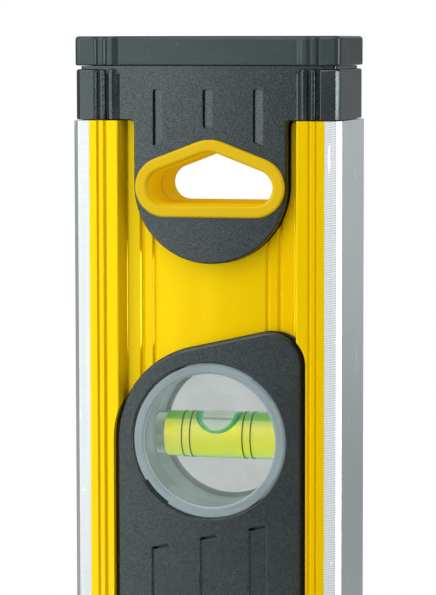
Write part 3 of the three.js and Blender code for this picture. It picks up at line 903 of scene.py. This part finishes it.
def build_beam(material):
    beam = bar(section(BEAM_QUARTER, FINE_TOLERANCE), -BEAM_END, BEAM_END)
    cut(beam, bar(section(CHAMBER_QUARTER), -BEAM_END - 1, BEAM_END + 1))
    for side in (unmoved, to_lower_end):
        cut(beam, side(shifted(tongue_notch(), x=TONGUE_X, z=BEAM_END)))
        for face in (unmoved, to_rear):
            for tool in beam_cut(PLUMB):
                cut(beam, side(shifted(face(tool), z=PLUMB_HEIGHT)))
    for face in (unmoved, mirror_to_rear):
        for tool in beam_cut(LEVEL):
            cut(beam, face(tool))
    cut(beam, block((WINDOW_SLOT_X, -WINDOW_SLOT_HALF_DEPTH, -WINDOW_SLOT_HALF_LENGTH),
                    (THROUGH, WINDOW_SLOT_HALF_DEPTH, WINDOW_SLOT_HALF_LENGTH)))
    return finish_piece(beam, "beam_extrusion", material, "beam", "box_beam",
                        slot="painted_beam", flat=True)


def recess_cutters(unit, column):
    """One upright recess of a cover's face, and a deep slit at its top end that is a painted
    shadow: a dark line cut where the real cover has only shade under the recess's top lip.
    """
    left = column * RECESS_PITCH - RECESS_HALF_WIDTH
    right = left + 2 * RECESS_HALF_WIDTH
    low, top = unit["cover_bottom"] + RECESS_MARGIN, unit["recess_top"]
    recess = slanted_plate(left, right, low, top, [RECESS_CORNER] * 4)
    slit = outline([(x + inset, slanted(x, top - drop)) for x, inset, drop in (
        (left, SLIT_LEFT_INSET, SLIT_TOP_INSET), (left, SLIT_LEFT_INSET, SLIT_HEIGHT),
        (right, -SLIT_RIGHT_INSET, SLIT_HEIGHT), (right, -SLIT_RIGHT_INSET, SLIT_TOP_INSET),
    )])
    floor_y = -COVER_FACE_Y + RECESS_DEPTH
    return (opening(recess, -COVER_FACE_Y, floor_y, RECESS_LIP_ROUND, RECESS_FOOT_ROUND),
            slab(slit, -COVER_FACE_Y, floor_y + SLIT_DEPTH))


def build_cover(unit):
    """Cover plate with a flange under the pocket's gap and a collar into the window."""
    seat = -WEB_Y - FACE_GAP
    cover = slab(cover_outline(unit), -COVER_FACE_Y, seat, COVER_RIM_ROUND)
    join(cover, *pocket_plates(unit, POCKET_GAP - FLANGE_GAP, seat - FLANGE_THICKNESS, seat))
    collar = unit_window(unit, -COLLAR_WALL)
    join(cover, slab(collar, seat - COLLAR_OVERLAP, -INNER_WEB_Y + FIT_GAP))
    cut(cover, opening(unit_window(unit, 0), -COVER_FACE_Y, 1, COVER_WINDOW_ROUND))
    for column in unit["recess_columns"]:
        cut(cover, *recess_cutters(unit, column))
    return cover


def rim_notch(radius, angle):
    """Cutter for a short step in a housing's rim."""
    ring = []
    for side, reach in ((1, radius - RIM_NOTCH_IN), (-1, radius + RIM_NOTCH_OUT)):
        for step in range(-RIM_NOTCH_STEPS, RIM_NOTCH_STEPS + 1):
            turn = math.radians(angle + side * step * RIM_NOTCH_SWEEP / RIM_NOTCH_STEPS)
            ring.append(Vector((reach * math.cos(turn), reach * math.sin(turn))))
    return slab(ring, -THROUGH, -HOUSING_FACE_Y + RIM_NOTCH_DEPTH)


def build_housing(unit):
    """Rim, lip and wall of a housing half, without its pane."""
    face_y = -HOUSING_FACE_Y
    lip_back = face_y + LIP_DEPTH + LIP_THICKNESS
    seam_y = -SEAM_Y
    inner, lip = FIT_GAP + HOUSING_WALL, FIT_GAP + LIP_WIDTH
    rim = [(FIT_GAP + inset, face_y + depth) for inset, depth in quarter_round(HOUSING_RIM_ROUND)]
    lip_edge = [(lip - inset, face_y + depth) for inset, depth in quarter_round(LIP_ROUND)]
    seam = [
        (FIT_GAP, seam_y - SEAM_CHAMFER), (FIT_GAP + SEAM_CHAMFER, seam_y),
        (inner - SEAM_CHAMFER, seam_y), (inner, seam_y - SEAM_CHAMFER),
    ]
    profile = rim + seam + [(inner, lip_back), (lip, lip_back)] + lip_edge[::-1]
    housing = loft(unit_window(unit, 0), profile, in_front_plane, ring=True)
    for angle in unit["notch_angles"]:
        cut(housing, rim_notch(unit["window"][0], angle))
    return housing


def build_pane(unit):
    front = -HOUSING_FACE_Y + LIP_DEPTH
    edge = unit_window(unit, FIT_GAP + LIP_WIDTH + PANE_GAP)
    return slab(edge, front, front + PANE_THICKNESS, PANE_ROUND, PANE_ROUND)


ROOF_SLOPE = math.radians(21)
HANG_HALF_WIDTH = 16.75
HANG_SIDE_RADIUS = 6.6
HANG_CENTRE_Z = -14.5
HANG_APEX_RADIUS = 8
HANG_ROUND_SLACK = 0.001
HANG_RIM = 2.75
HANG_RIM_ROUND = 0.5
HANG_LIP_ROUND = 0.75
LINER_INSET = 1.15
LINER_WALL = 1.8
SLOT_PITCH = 11.2
SLOT_HALF_WIDTH = 1.1
SLOT_TOP = 6.8
SLOT_BOTTOM = -6.6
MIDDLE_SLOT_BOTTOM = -1.6
SLOT_CORNER = 0.6
SLOT_DEPTH = 0.8
SLOT_LIP_ROUND = 0.13
SLOT_TILT = 0.18
SLOT_CLEARANCE = 2.6
CAP_FOOT_Z = 0.2
CAP_TOP_ROUND = 0.5
CAP_FOOT_ROUND = 0.15
NECK = (28.6, 12.4, 0.8)  # half width, half depth, corner radius
STUD = (18, 6, 1)
STUD_RISE = 3
LEG_LEFT_X = (-27.2, 23.9)
LEG_WIDTH = 3.3
LEG_HALF_DEPTH = 11.2
LEG_BOTTOM = -15
TONGUE_WALL = 2.6
HOLLOW_TOP = -20
HOLLOW_HALF_DEPTH = 9.6
DRAIN_LOW = (-7, -6, -40)
DRAIN_HIGH = (7, 6, -25)
PAD_TOP_ROUND = 0.8
PAD_FOOT_ROUND = 0.35


def hang_outline(inset):
    """Hang-hole outline: flat floor, half-round sides and a gabled roof, made smaller by inset."""
    radius = HANG_SIDE_RADIUS - inset
    bend = radius - HANG_ROUND_SLACK
    centre_x = HANG_HALF_WIDTH - HANG_SIDE_RADIUS
    apex_z = HANG_CENTRE_Z + (centre_x * math.sin(ROOF_SLOPE) + radius) / math.cos(ROOF_SLOPE)
    side = centre_x + radius
    eaves_z = apex_z - side * math.tan(ROOF_SLOPE)
    floor_z = HANG_CENTRE_Z - radius
    return outline([
        (-side, floor_z, bend), (side, floor_z, bend), (side, eaves_z, bend),
        (0, apex_z, HANG_APEX_RADIUS - inset), (-side, eaves_z, bend),
    ])


def hang_bore(inset):
    return slab(hang_outline(inset), -THROUGH, THROUGH)


def filleted_tongue():
    """Tongue outline that runs out into the cap's foot with a fillet on each side."""
    side, wide = TONGUE_HALF_WIDTH, TONGUE_HALF_WIDTH + TONGUE_ROOT_REACH
    left = [
        (-wide, TONGUE_ROOT_HEIGHT), (-wide, CAP_FOOT_Z), (-side, CAP_FOOT_Z, TONGUE_FILLET),
        (-side, TONGUE_BOTTOM, side - TONGUE_ROUND_SLACK),
    ]
    return outline(left + mirrored(left))


def tongue_hollow():
    side = TONGUE_HALF_WIDTH - TONGUE_WALL
    left = [(-side, HOLLOW_TOP), (-side, TONGUE_BOTTOM + TONGUE_WALL, side - TONGUE_ROUND_SLACK)]
    return slab(outline(left + mirrored(left)), -HOLLOW_HALF_DEPTH, HOLLOW_HALF_DEPTH)


def face_slots():
    """Upright slots of a cap's face with sloping floors, kept clear of the hang hole's rim."""
    slots = []
    for x in (-SLOT_PITCH, 0, SLOT_PITCH):
        low = MIDDLE_SLOT_BOTTOM if x == 0 else SLOT_BOTTOM
        slot = rounded_rectangle(SLOT_HALF_WIDTH, low, SLOT_TOP, SLOT_CORNER, x)
        cutter = opening(slot, -CAP_FACE_Y, -CAP_FACE_Y + SLOT_DEPTH, SLOT_LIP_ROUND)
        for vertex in cutter.data.vertices:
            if vertex.co.y > -CAP_FACE_Y + SLOT_DEPTH - NEAR:
                vertex.co.y -= SLOT_TILT * (vertex.co.x - x + SLOT_HALF_WIDTH)
        keep_off = slab(hang_outline(-SLOT_CLEARANCE), -2 * THROUGH, OVERRUN)
        slots.append(cut(cutter, keep_off))
    return slots


def plan(half_width, half_depth, radius, gap=0):
    return rounded_rectangle(half_width + gap, -half_depth - gap, half_depth + gap, radius)


def build_cap():
    """End cap: ribbed body, neck and stud for the pad, tongue with the hang hole, two legs."""
    neck_top = CAP_HEIGHT + NECK_HEIGHT
    body = bar(section(CAP_QUARTER), CAP_FOOT_Z, CAP_HEIGHT)
    round_edges(body, CAP_TOP_ROUND, 4, lambda m: m.z > CAP_HEIGHT - NEAR)
    round_edges(body, CAP_FOOT_ROUND, 2, lambda m: m.z < CAP_FOOT_Z + NEAR)
    tongue = slab(filleted_tongue(), -CAP_FACE_Y, CAP_FACE_Y, TONGUE_RIM_ROUND, TONGUE_RIM_ROUND)
    join(body, bar(plan(*NECK), CAP_HEIGHT - 1, neck_top),
         bar(plan(*STUD), CAP_HEIGHT, neck_top + STUD_RISE), shifted(tongue, x=TONGUE_X))
    for low_x in LEG_LEFT_X:
        high_x = low_x + LEG_WIDTH
        join(body, block((low_x, -LEG_HALF_DEPTH, LEG_BOTTOM), (high_x, LEG_HALF_DEPTH, 1)))
    liner_bore = LINER_INSET - FIT_GAP
    cut(body, shifted(hang_bore(liner_bore), x=TONGUE_X))
    for turn in (unmoved, to_rear):
        for slot in face_slots():
            cut(body, turn(slot))
    hollow = shifted(tongue_hollow(), x=TONGUE_X)
    cut(hollow, hang_bore(liner_bore - LINER_WALL))
    cut(body, hollow, block(DRAIN_LOW, DRAIN_HIGH))
    return body


def build_pad():
    low = CAP_HEIGHT + NECK_HEIGHT + FACE_GAP
    pad = bar(section(PAD_QUARTER), low, END_STACK)
    round_edges(pad, PAD_TOP_ROUND, 5, lambda m: m.z > END_STACK - NEAR)
    round_edges(pad, PAD_FOOT_ROUND, 3, lambda m: m.z < low + NEAR)
    return cut(pad, bar(plan(*STUD, FIT_GAP), low - 1, low + STUD_RISE + FIT_GAP))


def build_insert():
    """Hang-hole insert half: a rounded rim on the cap's face and a liner down to the seam."""
    face_y, under_rim = -INSERT_FACE_Y, -CAP_FACE_Y - FACE_GAP
    rim = [(inset, face_y + depth) for inset, depth in quarter_round(HANG_RIM_ROUND)]
    lip = [(HANG_RIM - inset, face_y + depth) for inset, depth in quarter_round(HANG_LIP_ROUND, 6)]
    liner = [
        (0, under_rim), (LINER_INSET, under_rim), (LINER_INSET, -SEAM_Y),
        (HANG_RIM - SEAM_CHAMFER, -SEAM_Y), (HANG_RIM, -SEAM_Y - SEAM_CHAMFER),
    ]
    return loft(hang_outline(0), rim + liner + lip[::-1], in_front_plane, ring=True)


def build_tube(half_length):
    """Vial tube, open at its lower X end and slightly wider at its closed end."""
    near, far = TUBE_RADIUS - TUBE_TAPER, TUBE_RADIUS + TUBE_TAPER
    return turned([
        (0, half_length - CLOSED_END), (BORE_RADIUS, half_length - CLOSED_END),
        (BORE_RADIUS, -half_length + END_ROUND), (BORE_RADIUS + END_ROUND, -half_length),
        (near - 0.2, -half_length), (near, -half_length + 0.2),
        (far, half_length - 0.3), (far - 0.3, half_length), (0, half_length),
    ], TUBE_SEGMENTS)


def build_plug(half_length):
    """Round plug in the open end of the tube, with a short nib outside."""
    outside, inside = -half_length, -half_length + PLUG_THICKNESS
    tip = outside - PLUG_NIB_LENGTH
    return turned([
        (0, tip), (PLUG_NIB_RADIUS - 2 * END_ROUND, tip),
        (PLUG_NIB_RADIUS - END_ROUND, tip + END_ROUND), (PLUG_NIB_RADIUS, outside),
        (PLUG_RADIUS - 0.2, outside), (PLUG_RADIUS, outside + END_ROUND),
        (PLUG_RADIUS, inside - END_ROUND), (PLUG_RADIUS - END_ROUND, inside), (0, inside),
    ])


def rod(low, high, low_radius, high_radius):
    return turned([(0, low), (low_radius, low), (high_radius, high), (0, high)], TUBE_SEGMENTS)


def build_fluid(half_length):
    """The liquid at the size the tube's wall magnifies it to."""
    low = -half_length + PLUG_THICKNESS + FACE_GAP
    high = half_length - CLOSED_END - FLUID_END_GAP
    return rod(low, high, FLUID_RADIUS - TUBE_TAPER, FLUID_RADIUS)


def build_bubble(x):
    """Drop under the top of the bore: from the side it is the lower half of an oval."""
    rings, around = 40, 64
    vertices, faces = [], []
    for i in range(rings + 1):
        lean = math.pi * i / rings
        for k in range(around):
            turn = 2 * math.pi * k / around
            vertices.append((
                x + BUBBLE_HALF_LENGTH * math.cos(lean),
                BUBBLE_HALF_DEPTH * math.sin(lean) * math.cos(turn),
                BUBBLE_TOP + BUBBLE_DROP * math.sin(lean) * math.sin(turn),
            ))
    for i in range(rings):
        here, above = i * around, (i + 1) * around
        for k in range(around):
            after = (k + 1) % around
            faces.append((here + k, here + after, above + after, above + k))
    drop = new_solid(vertices, faces)
    bm = bmesh.new()
    bm.from_mesh(drop.data)
    bmesh.ops.remove_doubles(bm, verts=bm.verts, dist=BUBBLE_WELD)
    bmesh.ops.recalc_face_normals(bm, faces=bm.faces)
    bm.to_mesh(drop.data)
    bm.free()
    radius = FLUID_RADIUS + BUBBLE_SKIN
    reach = BUBBLE_HALF_LENGTH + 1
    return keep_common(drop, rod(x - reach, x + reach, radius, radius))


LINE_OFFSETS = (-7.85, -6.0, 6.0, 7.85)
LINE_HALF_WIDTH = 0.13
LINE_INNER = -0.02
LINE_OUTER = 0.03


def build_line(x, half_length):
    """Printed gradation line round a tube, as a thin band on its tapered outside."""
    share = (x + half_length) / (2 * half_length)
    radius = TUBE_RADIUS + TUBE_TAPER * (2 * share - 1)
    inner, outer = radius + LINE_INNER, radius + LINE_OUTER
    low, high = x - LINE_HALF_WIDTH, x + LINE_HALF_WIDTH
    profile = ((inner, low), (outer, low), (outer, high), (inner, high))
    vertices, faces = [], []
    for k in range(TUBE_SEGMENTS):
        turn = 2 * math.pi * k / TUBE_SEGMENTS
        for reach, place in profile:
            vertices.append((place, reach * math.cos(turn), reach * math.sin(turn)))
    for k in range(TUBE_SEGMENTS):
        here, after = 4 * k, 4 * ((k + 1) % TUBE_SEGMENTS)
        for i in range(4):
            j = (i + 1) % 4
            faces.append((here + i, here + j, after + j, after + i))
    return outward(new_solid(vertices, faces))


# ---- assembly

LOOKS = {
    "beam": beam_material(),
    "cap": grained_plastic("cap_plastic", srgb(8, 11, 12), srgb(38, 44, 44), gloss=0.21),
    "cover": grained_plastic("cover_plastic", srgb(3, 5, 5), srgb(27, 32, 32), gloss=0.23),
    "pad": rubber_material(),
    "insert": insert_material(),
    "housing": clear_material("housing_acrylic", srgb(222, 228, 228), srgb(152, 166, 170),
                              cloud=0.62, roughness=0.18, painted_glow=0.55),
    "pane": clear_material("pane_acrylic", srgb(238, 240, 239), srgb(196, 200, 200),
                           cloud=0.05, roughness=0.06),
    "tube": clear_material("tube_acrylic", srgb(244, 248, 244), srgb(190, 204, 192),
                           cloud=0.04, roughness=0.05, painted_glow=0.3),
    "plug": clear_material("plug_plastic", srgb(236, 240, 238), srgb(206, 212, 210),
                           cloud=0.6, roughness=0.15, painted_glow=0.75),
    "ink": ink_material(),
}

beam = build_beam(LOOKS["beam"])


def add_end(name, turn):
    """Cap, pad and hang-hole insert of one end; turn carries an upper-end solid to its end."""
    def place(solid):
        return turn(shifted(solid, z=BEAM_END))

    body = f"{name}_end"
    finish_piece(place(build_cap()), f"{name}_cap_moulding", LOOKS["cap"], body,
                 f"{name}_end_cap", slot="end_cap")
    finish_piece(place(build_pad()), f"{name}_rubber_pad", LOOKS["pad"], body,
                 f"{name}_end_pad", slot="end_pad")
    for side, face in (("front", unmoved), ("rear", to_rear)):
        insert = place(shifted(face(build_insert()), x=TONGUE_X))
        finish_piece(insert, f"{name}_insert_{side}", LOOKS["insert"], body,
                     f"{name}_hang_insert_{side}", slot="hang_insert")


def add_casing(name, unit, turn, rear):
    """Cover, housing rim and pane on both faces of one vial unit."""
    for side, face in (("front", unmoved), ("rear", rear)):
        finish_piece(turn(face(build_cover(unit))), f"{name}_cover_plate_{side}",
                     LOOKS["cover"], "beam", f"{name}_cover_{side}", slot="vial_cover")
        finish_piece(turn(face(build_housing(unit))), f"{name}_housing_rim_{side}",
                     LOOKS["housing"], "beam", f"{name}_housing_{side}", slot="clear_housing")
        finish_piece(turn(face(build_pane(unit))), f"{name}_pane_{side}", LOOKS["pane"], "beam",
                     slot="clear_housing")


def add_vial(name, half_length, place, centre, along_axis, up_axis, bubble_x):
    """Tube, plug, liquid, bubble and printed lines of one vial, built along X and then placed."""
    fluid = fluid_material(f"{name}_liquid", centre[up_axis], up_axis)
    finish_piece(place(build_tube(half_length)), f"{name}_clear_tube", LOOKS["tube"], "beam",
                 f"{name}_tube", slot="vial_tube")
    finish_piece(place(build_plug(half_length)), f"{name}_end_plug", LOOKS["plug"], "beam",
                 f"{name}_plug", slot="vial_plug")
    finish_piece(place(build_fluid(half_length)), f"{name}_liquid", fluid, "beam",
                 f"{name}_fluid", slot="vial_fluid")
    bubble_centre = list(centre)
    bubble_centre[along_axis] += bubble_x if along_axis == 0 else -bubble_x
    bubble = bubble_material(f"{name}_bubble_light", bubble_centre, along_axis, up_axis)
    finish_piece(place(build_bubble(bubble_x)), f"{name}_gas_bubble", bubble, f"{name}_bubble",
                 f"{name}_bubble", slot="gas_bubble")
    for number, line_x in enumerate(LINE_OFFSETS, 1):
        line = place(build_line(line_x, half_length))
        finish_piece(line, f"{name}_line_{number}", LOOKS["ink"], "beam")


add_end("upper", unmoved)
add_end("lower", to_lower_end)
add_casing("upper_plumb", PLUMB, lambda s: shifted(s, z=PLUMB_HEIGHT), to_rear)
add_casing("lower_plumb", PLUMB, lambda s: to_lower_end(shifted(s, z=PLUMB_HEIGHT)), to_rear)
add_casing("level", LEVEL, unmoved, mirror_to_rear)

for name, height in (("upper_plumb", PLUMB_HEIGHT), ("lower_plumb", -PLUMB_HEIGHT)):
    low, high = box_mm(f"{name}_tube")
    add_vial(name, (high.x - low.x) / 2, lambda s, h=height: shifted(s, z=h),
             (0, 0, MIDDLE_Z + height), along_axis=0, up_axis=2, bubble_x=0)

low, high = box_mm("level_tube")
upright = Matrix.Translation((LEVEL_X, 0, 0)) @ Matrix.Rotation(math.pi / 2, 4, "Y")
add_vial("level", (high.z - low.z) / 2, lambda s: moved(s, upright), (LEVEL_X, 0, MIDDLE_Z),
         along_axis=2, up_axis=0, bubble_x=MIDDLE_Z - centre_mm("level_bubble").z)

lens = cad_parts["top_window"]
lens.data.materials.clear()
lens.data.materials.append(LOOKS["pane"])


# ---- stage, light and camera

FLOOR_RADIUS = 1.15
FLOOR_THICKNESS = 0.01
FLOOR_SEGMENTS = 96
FLOOR_FADE = (0.45, 1.1)
FLOOR_TONES = ((0.80, 0.80, 0.80), (0.84, 0.84, 0.84))


def make_floor():
    """Pale round floor that fades to the white of the background at its edge."""
    turns = [2 * math.pi * k / FLOOR_SEGMENTS for k in range(FLOOR_SEGMENTS)]
    points = [Vector((FLOOR_RADIUS * math.cos(a), FLOOR_RADIUS * math.sin(a))) for a in turns]
    floor = bar(points, -FLOOR_THICKNESS, 0)
    floor.name = "floor"
    s = Shader("pale_floor")
    x, y = s.axes()[:2]
    distance = s.math("SQRT", s.math("ADD", s.math("MULTIPLY", x, x), s.math("MULTIPLY", y, y)))
    tone = s.mix(s.noise(scale=60, detail=3), *FLOOR_TONES)
    matte = s.surface(Base_Color=tone, Roughness=0.8)
    white = s.node("ShaderNodeEmission", Color=(1, 1, 1), Strength=1.0).outputs[0]
    floor.data.materials.append(s.finish(s.blend(s.span(distance, *FLOOR_FADE), matte, white)))
    return floor


AMBIENT = 0.3
TARGET_SHARE = 0.82
LIGHT_TARGET = Vector((0, 0, LENGTH * MM * TARGET_SHARE))


def make_world():
    """White behind the object for the camera, and a soft grey surround for its light."""
    world = bpy.data.worlds.new("studio")
    bpy.context.scene.world = world
    world.use_nodes = True
    tree = world.node_tree
    tree.nodes.clear()
    output = tree.nodes.new("ShaderNodeOutputWorld")
    mix = tree.nodes.new("ShaderNodeMixShader")
    seen = tree.nodes.new("ShaderNodeBackground")
    seen.inputs["Color"].default_value = (1, 1, 1, 1)
    lit = tree.nodes.new("ShaderNodeBackground")
    lit.inputs["Color"].default_value = (0.93, 0.97, 1.0, 1)
    lit.inputs["Strength"].default_value = AMBIENT
    path = tree.nodes.new("ShaderNodeLightPath")
    tree.links.new(path.outputs["Is Camera Ray"], mix.inputs[0])
    tree.links.new(lit.outputs[0], mix.inputs[1])
    tree.links.new(seen.outputs[0], mix.inputs[2])
    tree.links.new(mix.outputs[0], output.inputs["Surface"])


def softbox(name, azimuth, elevation, distance, width, height, radiance,
            linked=None, shine_only=False):
    """Rectangular light facing the target; azimuth 0 is in front, positive towards +X.

    A (state, object) pair in linked leaves the object out of the light or lights it alone, and a
    shine_only light shows in reflections but casts no light.
    """
    a, e = math.radians(azimuth), math.radians(elevation)
    out = Vector((math.sin(a) * math.cos(e), -math.cos(a) * math.cos(e), math.sin(e)))
    data = bpy.data.lights.new(name, "AREA")
    data.shape = "RECTANGLE"
    data.size, data.size_y = width, height
    data.energy = radiance * math.pi * width * height
    light = bpy.data.objects.new(name, data)
    light.location = LIGHT_TARGET + out * distance
    light.rotation_mode = "QUATERNION"
    light.rotation_quaternion = (-out).to_track_quat("-Z", "Y")
    light.visible_camera = False
    light.visible_diffuse = not shine_only
    if linked:
        state, piece = linked
        group = bpy.data.collections.new(f"{name}_receivers")
        group.objects.link(piece)
        group.collection_objects[0].light_linking.link_state = state
        light.light_linking.receiver_collection = group
    bpy.context.scene.collection.objects.link(light)


floor = make_floor()
make_world()
off_floor = ("EXCLUDE", floor)
softbox("key", -38.5, 18, 0.33, 0.33, 0.9, 2.3, off_floor)
softbox("right_strip", 76, 4, 0.9, 0.2, 1.0, 11.0, off_floor, shine_only=True)
softbox("right_fill", 74, 12, 1.1, 0.4, 0.9, 1.6, off_floor)
softbox("side_fill", 168, 14, 1.6, 1.0, 1.2, 0.5, ("INCLUDE", beam))
softbox("overhead", 10, 62, 1.2, 1.0, 0.6, 1.3)
softbox("rear", 180, 35, 1.8, 1.6, 1.2, 0.8, off_floor)


CAMERA_ANGLES = (13.339, 5.075, -0.097)
CAMERA_LENS = 174.76
CAMERA_SENSOR = 36
CAMERA_CLIP = (0.01, 50)
CAMERA_X, CAMERA_Y, CAMERA_Z = 147.465, -610.541, 17.311  # from the front of the beam's upper end


def make_camera():
    """Camera at the reference's viewing angle: from the right of the front, a little above."""
    yaw, pitch, roll = (math.radians(angle) for angle in CAMERA_ANGLES)
    level_reach = math.cos(pitch)
    forward = Vector((-math.sin(yaw) * level_reach, math.cos(yaw) * level_reach, -math.sin(pitch)))
    level_right = Vector((math.cos(yaw), math.sin(yaw), 0))
    level_up = level_right.cross(forward)
    right = level_right * math.cos(roll) + level_up * math.sin(roll)
    up = level_up * math.cos(roll) - level_right * math.sin(roll)
    data = bpy.data.cameras.new("camera")
    data.sensor_width = CAMERA_SENSOR
    data.lens = CAMERA_LENS
    data.clip_start, data.clip_end = CAMERA_CLIP
    camera = bpy.data.objects.new("camera", data)
    place = Vector((CAMERA_X, CAMERA_Y - HALF_DEPTH, MIDDLE_Z + BEAM_END + CAMERA_Z)) * MM
    turn = Matrix((right, up, -forward)).transposed()
    camera.matrix_world = Matrix.Translation(place) @ turn.to_4x4()
    bpy.context.scene.collection.objects.link(camera)
    bpy.context.scene.camera = camera


make_camera()
bpy.context.scene.view_settings.view_transform = "Standard"
